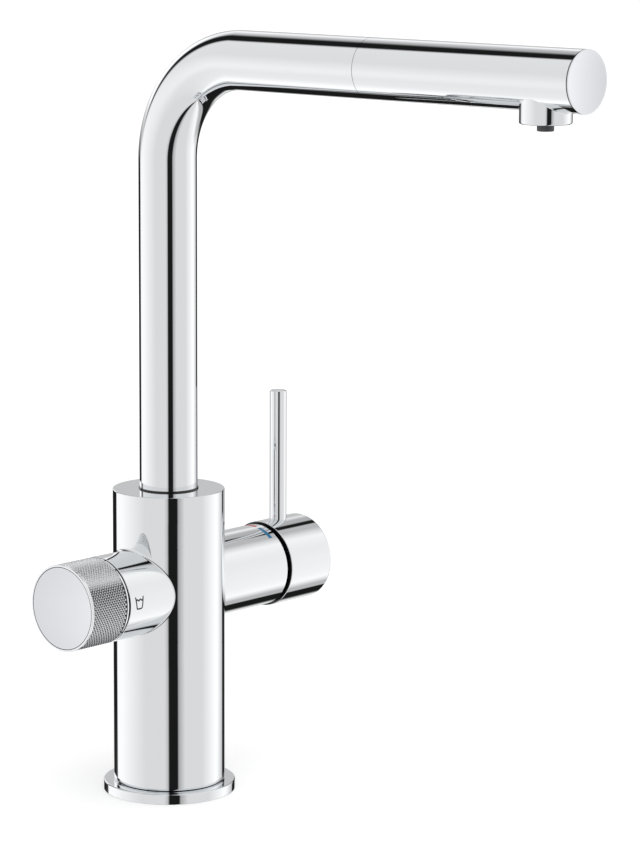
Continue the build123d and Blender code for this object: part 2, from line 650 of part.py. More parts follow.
def valve_spindle():
    """Brass spindle: a key in the moving disc, a seal groove, a clip groove and a square end."""
    key = bar(
        VALVE_DRIVE_KEY,
        2 * (VALVE_CHAMBER_RADIUS - VALVE_DRIVE_KEY_SETBACK),
        VALVE_DRIVE_START - VALVE_DRIVE_KEY_DEPTH,
        VALVE_DRIVE_START,
    )
    spindle = key + disc(VALVE_CHAMBER_RADIUS - LOOSE, VALVE_DRIVE_START, VALVE_DRIVE_END)
    spindle += disc(VALVE_SPINDLE_RADIUS, VALVE_DRIVE_END, KNOB_START)
    spindle += bar(VALVE_SQUARE, VALVE_SQUARE, KNOB_START, VALVE_SPINDLE_END)
    groove = VALVE_SPINDLE_RADIUS - 2 * SPINDLE_SEAL_SECTION
    half = SPINDLE_SEAL_SECTION + FIT
    spindle -= ring(VALVE_SPINDLE_RADIUS + 1, groove, SPINDLE_SEAL_OUT - half, SPINDLE_SEAL_OUT + half)
    clip_out = VALVE_TOP + FIT
    spindle -= ring(
        VALVE_SPINDLE_RADIUS + 1,
        VALVE_SPINDLE_RADIUS - CLIP_GROOVE,
        clip_out - FIT / 2,
        clip_out + CLIP_THICKNESS + FIT,
    )
    hole = disc(KNOB_SCREW_RADIUS + FIT, KNOB_HEAD_START - KNOB_SCREW_LENGTH - 1, VALVE_SPINDLE_END + 1)
    return FILTER_SIDE * (spindle - hole)


def spindle_seal():
    """Square-section rubber ring in the valve spindle's groove."""
    inner = VALVE_SPINDLE_RADIUS - 2 * SPINDLE_SEAL_SECTION + FIT
    low = SPINDLE_SEAL_OUT - SPINDLE_SEAL_SECTION
    high = SPINDLE_SEAL_OUT + SPINDLE_SEAL_SECTION
    return FILTER_SIDE * ring(VALVE_SPINDLE_RADIUS + RUNNING / 2, inner, low, high)


def spindle_clip():
    """Open spring clip that keeps the valve spindle in its body."""
    low = VALVE_TOP + FIT
    clip = ring(CLIP_RADIUS, VALVE_SPINDLE_RADIUS - CLIP_GROOVE + FIT, low, low + CLIP_THICKNESS)
    mouth = bar(CLIP_RADIUS, VALVE_SPINDLE_RADIUS, low - 1, low + CLIP_THICKNESS + 1)
    return FILTER_SIDE * (clip - Pos(CLIP_RADIUS, 0, 0) * mouth)


# Filter knob


def filter_knob():
    """Knob shell: a cup with smooth rims either side of the grip band and a recess for its face."""
    knob = disc(KNOB_RADIUS, KNOB_START, KNOB_END)
    knob = chamfer([outer_rim(knob, KNOB_START), outer_rim(knob, KNOB_END)], KNOB_EDGE)
    band = ring(KNOB_RADIUS + 1, KNOB_RADIUS - KNOB_KNURL_DEPTH, KNOB_START + KNOB_RIM, KNOB_END - KNOB_RIM)
    knob -= band
    knob -= disc(KNOB_RADIUS - KNOB_WALL, KNOB_START - 1, KNOB_WEB_START)
    knob -= disc(KNOB_RADIUS - KNOB_FACE_RIM, KNOB_FACE_START, KNOB_END + 1)
    knob -= disc(KNOB_SCREW_HEAD_RADIUS + LOOSE, KNOB_HEAD_START, KNOB_END)
    return FILTER_SIDE * (knob - disc(KNOB_SCREW_RADIUS + LOOSE, KNOB_START, KNOB_END))


def knob_face():
    """Polished disc pressed into the knob's face."""
    return FILTER_SIDE * disc(KNOB_RADIUS - KNOB_FACE_RIM - FIT, KNOB_FACE_START, KNOB_END)


def knob_insert():
    """Plastic insert in the knob with the socket for the spindle's square end."""
    low = KNOB_WEB_START - KNOB_INSERT_LENGTH
    insert = disc(KNOB_RADIUS - KNOB_WALL - FIT, low, KNOB_WEB_START)
    side = VALVE_SQUARE + 2 * FIT
    insert -= bar(side, side, low - 1, KNOB_WEB_START - KNOB_SOCKET_ROOF)
    return FILTER_SIDE * (insert - disc(KNOB_SCREW_RADIUS + LOOSE, low, KNOB_END))


def knob_screw():
    """Screw that holds the knob on the valve spindle, under the knob's face."""
    head = KNOB_FACE_START - FIT
    screw = disc(KNOB_SCREW_HEAD_RADIUS, KNOB_HEAD_START, head)
    screw += disc(KNOB_SCREW_RADIUS, KNOB_HEAD_START - KNOB_SCREW_LENGTH, KNOB_HEAD_START)
    key = hexagon(KNOB_SCREW_HEAD_RADIUS, head - KNOB_SCREW_KEY_DEPTH, head + 1)
    return FILTER_SIDE * (screw - key)


# Spout


def spout_tube():
    """Bent tube from the body's socket to the head's seam."""
    bend_start = SPOUT_HEIGHT - BEND_RADIUS
    riser = Line((0, 0, TUBE_FOOT), (0, 0, bend_start))
    bend = ThreePointArc(
        (0, 0, bend_start),
        (0, -BEND_RADIUS * (1 - 0.5**0.5), bend_start + BEND_RADIUS * 0.5**0.5),
        (0, -BEND_RADIUS, SPOUT_HEIGHT),
    )
    arm = Line((0, -BEND_RADIUS, SPOUT_HEIGHT), (0, -SEAM_REACH, SPOUT_HEIGHT))
    section = Pos(0, 0, TUBE_FOOT) * (Circle(TUBE_RADIUS) - Circle(TUBE_BORE))
    return sweep(section, path=Wire([riser, bend, arm]))


def stop_groove():
    """Groove round the back of the spout's foot that the retaining screw's point runs in."""
    middle = SOCKET_FLOOR + STOP_SCREW_HEIGHT
    half = STOP_DOG_RADIUS + LOOSE
    outer = SOCKET_BORE + 1
    reach = SWIVEL_HALF_ANGLE + STOP_SPARE_ANGLE
    arc = CenterArc((0, 0), outer, 90 - reach, 2 * reach)
    sector = make_face([arc, Line(arc @ 1, (0, 0)), Line((0, 0), arc @ 0)])
    wedge = extrude(Pos(0, 0, middle - half) * sector, 2 * half)
    return wedge - disc(SOCKET_BORE - STOP_GROOVE_DEPTH, middle - half - 1, middle + half + 1)


def spout_foot():
    """Brass foot brazed into the tube's lower end: it turns in the body's socket."""
    low = SOCKET_FLOOR + LOOSE
    foot = disc(TUBE_RADIUS - FIT, low, TUBE_FOOT)
    foot += disc(TUBE_BORE - FIT, TUBE_FOOT, TUBE_FOOT + FOOT_SPIGOT)
    foot -= disc(HOSE_PASSAGE_RADIUS, low - 1, TUBE_FOOT + FOOT_SPIGOT + 1)
    seat = low + SWIVEL_RING_SEAT
    foot -= ring(SOCKET_BORE + 1, TUBE_BORE, seat, seat + SWIVEL_RING_HEIGHT + FIT)
    return foot - stop_groove()


def split_ring(outer, inner, low, high):
    """A ring with a slit, so that it can be sprung over its seat."""
    slit = Pos(outer, 0, 0) * bar(outer, SWIVEL_RING_SLIT, low - 1, high + 1)
    return ring(outer, inner, low, high) - slit


def swivel_ring_lower():
    """Split plastic ring in the foot's groove that guides it in the socket."""
    seat = SOCKET_FLOOR + LOOSE + SWIVEL_RING_SEAT
    return split_ring(SOCKET_BORE - FILM, TUBE_BORE + FIT, seat + FIT / 2, seat + SWIVEL_RING_HEIGHT)


def swivel_ring_upper():
    """Split plastic ring in the socket's groove that guides the tube at the body's top."""
    low = UPPER_RING_TOP - UPPER_RING_HEIGHT
    return split_ring(SOCKET_BORE + UPPER_RING_WIDTH - FIT, SOCKET_BORE - FILM, low, UPPER_RING_TOP)


def spout_screw():
    """Retaining screw at the back of the body: its plain point also stops the spout's swivel."""
    dog_end = SOCKET_BORE - STOP_GROOVE_DEPTH + LOOSE
    thread_start = dog_end + STOP_DOG_LENGTH
    head = BODY_RADIUS - STOP_SCREW_RECESS
    screw = disc(STOP_DOG_RADIUS, dog_end, thread_start) + disc(STOP_SCREW_RADIUS, thread_start, head)
    key = hexagon(STOP_SCREW_RADIUS, head - GRUB_SCREW_KEY_DEPTH, head + 1)
    return stop_screw_place() * (screw - key)


def dock_sleeve():
    """Plastic sleeve in the spout's open end that guides the connector and seats the head's neck."""
    sleeve = disc(TUBE_BORE - FIT, SEAM_REACH - DOCK_LENGTH, SEAM_REACH)
    sleeve -= disc(CONNECTOR_RADIUS + RUNNING, 0, HEAD_END_REACH)
    return SPOUT_LINE * (sleeve - disc(DOCK_SOCKET_RADIUS, SEAM_REACH - DOCK_SOCKET_DEPTH, SEAM_REACH + 1))


# Pull-out head


def outlet_bar(radius, low, high):
    """An upright round bar on the outlet's axis."""
    return Pos(0, -OUTLET_REACH, 0) * disc(radius, low, high)


def head_shell():
    """Chromed shell of the pull-out head, closed at the front, with the outlet collar below."""
    shell = disc(TUBE_RADIUS, HEAD_REAR, HEAD_END_REACH)
    shell = chamfer(outer_rim(shell, HEAD_END_REACH), HEAD_EDGE)
    collar = outlet_bar(OUTLET_RADIUS, OUTLET_BOTTOM, SPOUT_HEIGHT)
    collar = fillet(outer_rim(collar, OUTLET_BOTTOM), OUTLET_EDGE)
    head = SPOUT_LINE * shell + collar
    head -= SPOUT_LINE * disc(TUBE_RADIUS - HEAD_WALL, HEAD_REAR - 1, HEAD_END_REACH - HEAD_END_WALL)
    return head - outlet_bar(OUTLET_RADIUS - OUTLET_WALL, OUTLET_BOTTOM - 1, SPOUT_HEIGHT)


def head_waterway():
    """Plastic waterway in the head: one way for mixed water, one for filtered water."""
    end = HEAD_END_REACH - HEAD_END_WALL - LOOSE
    body = disc(TUBE_RADIUS - HEAD_WALL - FIT, HEAD_REAR + SEAM, end)
    body += disc(DOCK_SOCKET_RADIUS - RUNNING, SEAM_REACH - WATERWAY_NECK, HEAD_REAR + SEAM)
    body -= disc(CONNECTOR_RADIUS + FIT, 0, HEAD_REAR + SEAM)
    mixed = Pos(WATERWAY_MIXED_RISE, 0, 0) * disc(WATERWAY_MIXED_RADIUS, 0, OUTLET_REACH)
    filtered = Pos(-WATERWAY_FILTERED_DROP, 0, 0) * disc(WATERWAY_FILTERED_RADIUS, 0, OUTLET_REACH)
    body = SPOUT_LINE * (body - mixed - filtered)
    chamber_roof = SPOUT_HEIGHT + WATERWAY_MIXED_RISE
    chamber = outlet_bar(OUTLET_RADIUS - OUTLET_WALL - WATERWAY_WALL, OUTLET_SEAT, chamber_roof)
    chamber -= outlet_bar(NOZZLE_RADIUS + WATERWAY_WALL, OUTLET_SEAT - 1, chamber_roof)
    chamber += outlet_bar(NOZZLE_RADIUS + FIT, OUTLET_SEAT - 1, chamber_roof - WATERWAY_MIXED_RADIUS)
    seat = outlet_bar(OUTLET_RADIUS, OUTLET_BOTTOM, OUTLET_SEAT + OUTLET_SEAL_HEIGHT)
    return body - chamber - seat


def hose_connector():
    """Tapered brass connector between the head and its hose, which runs back into the spout."""
    tail = SEAM_REACH - CONNECTOR_LENGTH
    straight = tail + CONNECTOR_TAPER
    front = HEAD_REAR + SEAM
    side = Polyline((0, tail), (CONNECTOR_TAIL_RADIUS, tail), (CONNECTOR_RADIUS, straight))
    back = Polyline((CONNECTOR_RADIUS, straight), (CONNECTOR_RADIUS, front), (0, front), (0, tail))
    profile = Plane.XZ * make_face([*side.edges(), *back.edges()])
    body = revolve(profile, Axis.Z) - disc(CONNECTOR_BORE, tail - 1, front + 1)
    return SPOUT_LINE * body


def non_return_valves():
    """Non-return valve inserts, one in each way of the head."""
    low = HEAD_REAR + SEAM + LOOSE
    high = low + VALVE_INSERT_LENGTH
    inserts = []
    for rise, radius in (
        (WATERWAY_MIXED_RISE, WATERWAY_MIXED_RADIUS),
        (-WATERWAY_FILTERED_DROP, WATERWAY_FILTERED_RADIUS),
    ):
        sleeve = ring(radius - FIT, radius - VALVE_INSERT_WALL, low, high)
        poppet = disc(radius - VALVE_INSERT_WALL + FIT, (low + high) / 2, high - VALVE_INSERT_WALL)
        inserts.append(Pos(rise, 0, 0) * (sleeve + poppet))
    return SPOUT_LINE * Compound(inserts)


def aerator_housing():
    """Plastic aerator insert in the outlet collar: a ring round slots and the nozzle's hole."""
    low = OUTLET_BOTTOM + AERATOR_INSET
    outer = OUTLET_RADIUS - OUTLET_WALL - FIT
    floor = low + SCREEN_INSET + SCREEN_THICKNESS
    housing = disc(outer, low, OUTLET_SEAT)
    housing -= disc(outer - AERATOR_RIM, low - 1, floor)
    housing -= disc(NOZZLE_RADIUS + FIT, low - 1, OUTLET_SEAT + 1)
    middle = (outer - AERATOR_RIM + NOZZLE_RADIUS) / 2
    slot = Pos(middle, 0, 0) * disc(AERATOR_SLOT_RADIUS, floor - 1, OUTLET_SEAT + 1)
    for place in PolarLocations(0, AERATOR_SLOTS):
        housing -= place * slot
    return Pos(0, -OUTLET_REACH, 0) * housing


def aerator_screen():
    """Flow screen in the aerator's mouth: rings joined by spokes."""
    low = OUTLET_BOTTOM + AERATOR_INSET + SCREEN_INSET
    high = low + SCREEN_THICKNESS
    outer = OUTLET_RADIUS - OUTLET_WALL - AERATOR_RIM - 2 * FIT
    inner = NOZZLE_RADIUS + FIT
    step = (outer - inner) / SCREEN_BANDS
    spoke = Pos(outer, 0, 0) * bar(2 * outer, SCREEN_SPOKE, low - 1, high + 1)
    plate = ring(outer, inner, low, high)
    for band in range(1, SCREEN_BANDS, 2):
        gap = ring(inner + (band + 1) * step, inner + band * step, low - 1, high + 1)
        for place in PolarLocations(0, AERATOR_SLOTS):
            gap -= place * spoke
        plate -= gap
    return Pos(0, -OUTLET_REACH, 0) * plate


def outlet_seal():
    """Rubber ring between the aerator and the waterway."""
    outer = OUTLET_RADIUS - OUTLET_WALL - 2 * FIT
    return outlet_bar(outer, OUTLET_SEAT, OUTLET_SEAT + OUTLET_SEAL_HEIGHT) - outlet_bar(
        outer - AERATOR_RIM, OUTLET_SEAT - 1, OUTLET_SEAT + OUTLET_SEAL_HEIGHT + 1
    )


def filtered_nozzle():
    """Separate nozzle for filtered water in the middle of the aerator."""
    top = SPOUT_HEIGHT - WATERWAY_FILTERED_DROP
    nozzle = disc(NOZZLE_RADIUS, NOZZLE_BOTTOM, top)
    nozzle = chamfer(outer_rim(nozzle, NOZZLE_BOTTOM), NOZZLE_EDGE)
    return Pos(0, -OUTLET_REACH, 0) * (nozzle - disc(NOZZLE_BORE, NOZZLE_BOTTOM - 1, top + 1))


NODES = [
    mounting_shank,
    base_ring,
    foot_gasket,
    clamp_gasket,
    clamp_washer,
    clamp_nut,
    body_shell,
    cartridge_base,
    cartridge_seals,
    fixed_disc,
    mixing_disc,
    disc_carrier,
    mixer_turret,
    pivot_pin,
    mixer_spindle,
    cartridge_housing,
    cartridge_nut,
    cover_ring,
    handle_cap,
    handle_lever,
    handle_screw,
    valve_body,
    valve_seal,
    valve_fixed_disc,
    valve_moving_disc,
    valve_spindle,
    spindle_seal,
    spindle_clip,
    filter_knob,
    knob_face,
    knob_insert,
    knob_screw,
    spout_tube,
    spout_foot,
    swivel_ring_lower,
    swivel_ring_upper,
    spout_screw,
    dock_sleeve,
    head_shell,
    head_waterway,
    hose_connector,
    non_return_valves,
    aerator_housing,
    aerator_screen,
    outlet_seal,
    filtered_nozzle,
]

os.makedirs("parts", exist_ok=True)
for make in NODES:
    export_step(make(), f"parts/{make.__name__}.step")
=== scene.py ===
"""Looks of the water filter kitchen tap: polished chrome outside, its inner pieces in their own finishes.

The pieces are modelled in millimetres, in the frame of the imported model, and made metres when finished.
The spout points along -Y, the filter knob along -X, the mixer handle along +X, and +Z is up.
"""

import json
import math

import bmesh
import bpy
from mathutils import Matrix, Vector


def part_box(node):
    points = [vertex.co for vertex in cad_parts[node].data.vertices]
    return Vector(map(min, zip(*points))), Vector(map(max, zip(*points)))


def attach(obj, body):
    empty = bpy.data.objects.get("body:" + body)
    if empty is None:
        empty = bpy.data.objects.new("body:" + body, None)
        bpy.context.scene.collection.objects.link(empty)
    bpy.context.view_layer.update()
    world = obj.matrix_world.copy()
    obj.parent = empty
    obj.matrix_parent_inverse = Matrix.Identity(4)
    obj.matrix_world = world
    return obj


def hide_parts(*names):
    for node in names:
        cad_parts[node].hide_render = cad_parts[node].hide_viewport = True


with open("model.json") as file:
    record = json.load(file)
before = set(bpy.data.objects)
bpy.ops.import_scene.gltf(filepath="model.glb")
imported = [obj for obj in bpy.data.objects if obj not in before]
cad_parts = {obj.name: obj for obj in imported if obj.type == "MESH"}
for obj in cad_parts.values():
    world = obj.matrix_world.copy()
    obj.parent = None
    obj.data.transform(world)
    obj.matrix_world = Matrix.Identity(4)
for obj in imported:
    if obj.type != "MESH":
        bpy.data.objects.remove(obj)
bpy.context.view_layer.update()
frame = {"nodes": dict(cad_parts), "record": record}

MM = 0.001

# Points that lie this close, in millimetres, count as one, and edges that turn more than this stay sharp
WELD = 0.001
SHARP_ANGLE = math.radians(35)

# Sizes read from the frame, in millimetres


def span(node):
    """Lowest and highest corner of a node of the frame, in millimetres."""
    low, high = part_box(node)
    return low / MM, high / MM


BODY_LOW, BODY_HIGH = span("body_shell")
BASE_HIGH = span("base_ring")[1]
TUBE_LOW, TUBE_HIGH = span("spout_tube")
HEAD_LOW, HEAD_HIGH = span("head_shell")
CAP_LOW, CAP_HIGH = span("handle_cap")
LEVER_LOW, LEVER_HIGH = span("handle_lever")
COVER_HIGH = span("cover_ring")[1]
KNOB_LOW, KNOB_HIGH = span("filter_knob")
FACE_HIGH = span("knob_face")[1]
NOZZLE_LOW, NOZZLE_HIGH = span("filtered_nozzle")
CONNECTOR_LOW, CONNECTOR_HIGH = span("hose_connector")
SHANK_LOW, SHANK_HIGH = span("mounting_shank")

BODY_RADIUS = BODY_HIGH.y
BODY_FOOT = BODY_LOW.z
BODY_TOP = BODY_HIGH.z
BASE_RADIUS = BASE_HIGH.x
TUBE_RADIUS = TUBE_HIGH.x
SPOUT_HEIGHT = TUBE_HIGH.z - TUBE_RADIUS
SEAM_REACH = -TUBE_LOW.y
HEAD_REAR = -HEAD_HIGH.y
HEAD_END = -HEAD_LOW.y
OUTLET_BOTTOM = HEAD_LOW.z
OUTLET_REACH = -(NOZZLE_LOW.y + NOZZLE_HIGH.y) / 2
NOZZLE_RADIUS = (NOZZLE_HIGH.x - NOZZLE_LOW.x) / 2
SIDE_AXIS_HEIGHT = (KNOB_LOW.z + KNOB_HIGH.z) / 2
CAP_RADIUS = (CAP_HIGH.z - CAP_LOW.z) / 2
LEVER_RADIUS = LEVER_HIGH.y
LEVER_OUT = (LEVER_LOW.x + LEVER_HIGH.x) / 2
COVER_RADIUS = COVER_HIGH.y
KNOB_RADIUS = KNOB_HIGH.y
KNOB_START = -KNOB_HIGH.x
KNOB_END = -KNOB_LOW.x
FACE_RADIUS = FACE_HIGH.y
FACE_START = -FACE_HIGH.x
CONNECTOR_RADIUS = CONNECTOR_HIGH.x
SHANK_HEAD_RADIUS = SHANK_HIGH.x

# Sizes of the looks, in millimetres

# Body and base ring
SKIN = 0.4
BODY_PATCH_HALF = 33.0
BODY_TOP_EDGE = 0.4
BODY_FOOT_EDGE = 1.3
# The foot's round is painted black as shade up to this height
BODY_FOOT_SHADE = 0.2
CAVITY_RADIUS = BODY_RADIUS - 3.2
CAVITY_SHOWN = 9.0
BASE_TOP_EDGE = 0.6
BASE_FOOT_EDGE = 0.25
BASE_BORE = 17.0
GASKET_GROOVE_OUTER = BASE_RADIUS - 3.0
GASKET_GROOVE_INNER = GASKET_GROOVE_OUTER - 3.2
GASKET_GROOVE_DEPTH = 1.9

# Shank below the body
SHANK_RADIUS = 16.5
SHANK_BORE = 13.5
SHANK_LEAD_IN = 1.0
THREAD_TOP = -3.0
THREAD_PITCH = 1.5
THREAD_DEPTH = 0.8

# The spout's socket in the body's top, and the lip round the spout's foot
SPOUT_SOCKET_RADIUS = TUBE_RADIUS + 0.45
SPOUT_SOCKET_SHOWN = 4.4
SLIDE_RING_BORE = TUBE_RADIUS + 0.05
SLIDE_RING_RADIUS = TUBE_RADIUS + 0.4
SLIDE_RING_SHOWN = 0.6
SLIDE_RING_EDGE = 0.1

# Sleeves at the body's sides, and the black ring in the mixer sleeve's mouth
SLEEVE_FILLET = 1.0
SLEEVE_EDGE = 0.2
FILTER_MOUTH_RADIUS = 14.0
FILTER_MOUTH_DEPTH = 9.0
MIXER_SLEEVE_RADIUS = 18.6
MIXER_MOUTH_BEYOND = 4.0
COVER_SEAT = 2.5
COVER_SPIGOT = 6.0
COVER_SPIGOT_RADIUS = 15.35
COVER_SPIGOT_ROOM = 0.1
COVER_ROOM = 0.05
COVER_BORE = 12.2
COVER_EDGE = 0.3

# Handle and lever
CAP_HOLLOW_RADIUS = CAP_RADIUS - 1.3
# The cup's hollow, out to this radius, is painted black as shade
CAP_PAINTED_SHADE_RADIUS = CAP_HOLLOW_RADIUS + 0.1
CAP_HOLLOW = 6.0
CAP_SOCKET_RADIUS = 4.8
CAP_SOCKET_DEPTH = 12.0
CAP_END_EDGE = 0.8
CAP_REAR_EDGE = 0.35
CAP_REAR_FACING = -0.95
LEVER_SUNK = 1.2
LEVER_EDGE = 0.45

# Filter knob: its neck, its recesses, its diamond knurl and the disc in its end
KNOB_RIM = 0.9
KNOB_EDGE = 0.2
KNOB_BORE = KNOB_RADIUS - 2.0
KNOB_RECESS_RADIUS = FACE_RADIUS + 0.28
KNOB_WEB = 5.2
KNOB_SCREW_RECESS_RADIUS = 4.1
KNOB_SCREW_RECESS = 2.0
KNOB_SCREW_BORE = 2.25
KNOB_NECK = 0.5
KNOB_NECK_DEPTH = 0.6
KNURL_LENGTH = 1.48
KNURL_WIDTH = 2.07
KNURL_DEPTH = 0.37
KNURL_CUT = 0.05
FACE_EDGE = 0.12
FACE_DISH = 1.15

# Sign and marks on the sleeves: places along X and up from the sleeve's axis, arcs in degrees from the front
PRINT_HEIGHT = 0.03
PRINT_STEP = 0.4
SIGN_PLACE = (-37.85, 0.85)
SIGN_TOP = 4.7
SIGN_FOOT = 3.3
SIGN_HEIGHT = 5.4
SIGN_CORNER = 0.7
SIGN_LEVEL = 1.2
SIGN_WAVE = 0.28
SIGN_STROKE = 0.7
MARK_PLACE = 54.7
MARK_STROKE = 2.1
HOT_ARC = (82, 108)
COLD_ARC = (51, 77)

# Spout and pull-out head
BEND_RADIUS = 45.2
TUBE_WALL = 1.5
HEAD_SKIN = 0.6
HEAD_PATCH_SHORT = 1.5
HEAD_END_EDGE = 0.2
HEAD_DISH = 0.95
END_CAP_RIM = 0.25
# Width of the flat black band, painted shadow of the end cap's seam
END_CAP_SEAM_SHADOW = 0.5
OUTLET_RADIUS = 10.7
OUTLET_BORE = OUTLET_RADIUS - 1.0
OUTLET_EDGE = 0.75
OUTLET_LIP = 0.15
OUTLET_FILLET = 0.35
AERATOR_SEAT = 7.5
NOZZLE_BORE = 2.0
NOZZLE_EDGE = 0.4
CONNECTOR_BORE = 4.6
CONNECTOR_TAPER = 20.0
CONNECTOR_TAIL_RADIUS = 6.4
CONNECTOR_EDGE = 0.3

# Fineness of the round pieces
TURN_STEPS = 160
SLIM_TURN_STEPS = 96
NOZZLE_STEPS = 64
PATCH_STEPS = 320
PATCH_RINGS = 24
PATCH_SPREAD = 1.5
FILLET_STEPS = 4
BEND_STEPS = 64
OUTLET_EDGE_STEPS = 5
RIM_SEGMENTS = 3
DISH_RINGS = 12
SIGN_STEPS = 6
MARK_STEPS = 24

# How far the largest face beside a corner sets its shading: most on plain pieces, evenly on dished ones
FLAT_WEIGHT = 90
EVEN_WEIGHT = 50

# Places: the local Z of a side and of the spout points out of the body, and the outlet's points up
MIXER_SIDE = Matrix.Translation((0, 0, SIDE_AXIS_HEIGHT)) @ Matrix.Rotation(math.pi / 2, 4, "Y")
FILTER_SIDE = Matrix.Translation((0, 0, SIDE_AXIS_HEIGHT)) @ Matrix.Rotation(-math.pi / 2, 4, "Y")
SPOUT_LINE = Matrix.Translation((0, 0, SPOUT_HEIGHT)) @ Matrix.Rotation(math.pi / 2, 4, "X")
OUTLET_LINE = Matrix.Translation((0, -OUTLET_REACH, 0))
UPRIGHT = Matrix.Identity(4)


# Materials


def linear(colour):
    """An sRGB hex colour as linear RGBA."""
    channels = [int(colour[i : i + 2], 16) / 255 for i in (1, 3, 5)]
    return (*[c / 12.92 if c <= 0.04045 else ((c + 0.055) / 1.055) ** 2.4 for c in channels], 1.0)


def add(tree, kind, settings=None, **inputs):
    """Adds a node with its settings; each input is a value, or a socket to link from."""
    made = tree.nodes.new(kind)
    for name, value in (settings or {}).items():
        setattr(made, name, value)
    for name, value in inputs.items():
        socket = made.inputs[int(name[1:]) if name[1:].isdigit() else name.replace("_", " ")]
        if isinstance(value, bpy.types.NodeSocket):
            tree.links.new(value, socket)
        else:
            socket.default_value = value
    return made


def new_material(name):
    """An empty node material: its tree and its output node."""
    material = bpy.data.materials.new(name)
    material.use_nodes = True
    material.node_tree.nodes.clear()
    output = add(material.node_tree, "ShaderNodeOutputMaterial")
    return material, material.node_tree, output


def plating(name, tint, haze_size, roughness_low, roughness_high):
    """Chrome plating: a hard mirror, whose gloss varies a little with the haze that the polishing leaves."""
    material, tree, output = new_material(name)
    place = add(tree, "ShaderNodeTexCoord").outputs["Object"]
    haze = add(tree, "ShaderNodeTexNoise", Vector=place, Scale=1 / haze_size, Detail=3.0, Roughness=0.6)
    roughness = add(
        tree, "ShaderNodeMapRange", Value=haze.outputs["Fac"], To_Min=roughness_low, To_Max=roughness_high
    )
    shader = add(
        tree,
        "ShaderNodeBsdfPrincipled",
        Base_Color=linear(tint),
        Metallic=1.0,
        Roughness=roughness.outputs["Result"],
    )
    tree.links.new(shader.outputs["BSDF"], output.inputs["Surface"])
    return material


# The grip's shade. All are heights of a direction, from -1 straight below to 1 straight above: of the skin
# under the grip where the shade starts and has ended at the top, and where the light starts to fall off and
# is lowest at the foot, and of a flank's tilt from that skin where it is still dark and where it is lit.
GRIP_TOP_STARTS = 0.5
GRIP_TOP = 0.66
GRIP_FOOT_STARTS = -0.5
GRIP_FOOT = -0.9
GRIP_FOOT_LIGHT = 0.4
GRIP_TILT_DARK = 0.02
GRIP_TILT_LIGHT = 0.1


def knurled_chrome():
    """The same plating over a rolled knurl: the fine flanks spread what they mirror to a soft grey.

    The flanks turned down from the skin they stand on mirror the shade below the grip and look dark, except
    on top of the knob, and at its foot the others lose light too. The studio has no such shade, so it is
    drawn as a dark tint.
    """
    material, tree, output = new_material("knurled_chrome_plating")
    on_knob = add(tree, "ShaderNodeTexCoord").outputs
    grain_size = 0.4 * MM
    grain = add(
        tree, "ShaderNodeTexNoise", Vector=on_knob["Object"], Scale=1 / grain_size, Detail=2.0, Roughness=0.5
    )
    roughness = add(tree, "ShaderNodeMapRange", Value=grain.outputs["Fac"], To_Min=0.3, To_Max=0.38)
    axis = (0, 0, SIDE_AXIS_HEIGHT * MM)
    off_axis = add(tree, "ShaderNodeVectorMath", {"operation": "SUBTRACT"}, _0=on_knob["Object"], _1=axis)
    across = add(
        tree, "ShaderNodeVectorMath", {"operation": "MULTIPLY"}, _0=off_axis.outputs[0], _1=(0, 1, 1)
    )
    outwards = add(tree, "ShaderNodeVectorMath", {"operation": "NORMALIZE"}, _0=across.outputs[0])
    tilt = add(
        tree, "ShaderNodeVectorMath", {"operation": "SUBTRACT"}, _0=on_knob["Normal"], _1=outwards.outputs[0]
    )
    to_world = {"vector_type": "VECTOR", "convert_from": "OBJECT", "convert_to": "WORLD"}
    tilt_up = add(tree, "ShaderNodeVectorTransform", to_world, Vector=tilt.outputs[0])
    skin_up = add(tree, "ShaderNodeVectorTransform", to_world, Vector=outwards.outputs[0])
    rise = add(tree, "ShaderNodeSeparateXYZ", Vector=tilt_up.outputs[0]).outputs["Z"]
    facing = add(tree, "ShaderNodeSeparateXYZ", Vector=skin_up.outputs[0]).outputs["Z"]
    on_top = add(tree, "ShaderNodeMapRange", Value=facing, From_Min=GRIP_TOP_STARTS, From_Max=GRIP_TOP)
    below = add(
        tree,
        "ShaderNodeMapRange",
        Value=facing,
        From_Min=GRIP_FOOT_STARTS,
        From_Max=GRIP_FOOT,
        To_Min=1.0,
        To_Max=GRIP_FOOT_LIGHT,
    )
    lit = add(
        tree,
        "ShaderNodeMapRange",
        Value=rise,
        From_Min=GRIP_TILT_DARK,
        From_Max=GRIP_TILT_LIGHT,
        To_Min=on_top.outputs["Result"],
        To_Max=below.outputs["Result"],
    )
    tint = add(tree, "ShaderNodeMix", {"data_type": "RGBA"}, Factor=lit.outputs["Result"])
    tint.inputs["A"].default_value = linear("#4A4D4F")
    tint.inputs["B"].default_value = linear("#F0F2F4")
    shader = add(
        tree,
        "ShaderNodeBsdfPrincipled",
        Base_Color=tint.outputs["Result"],
        Metallic=1.0,
        Roughness=roughness.outputs["Result"],
    )
    tree.links.new(shader.outputs["BSDF"], output.inputs["Surface"])
    return material


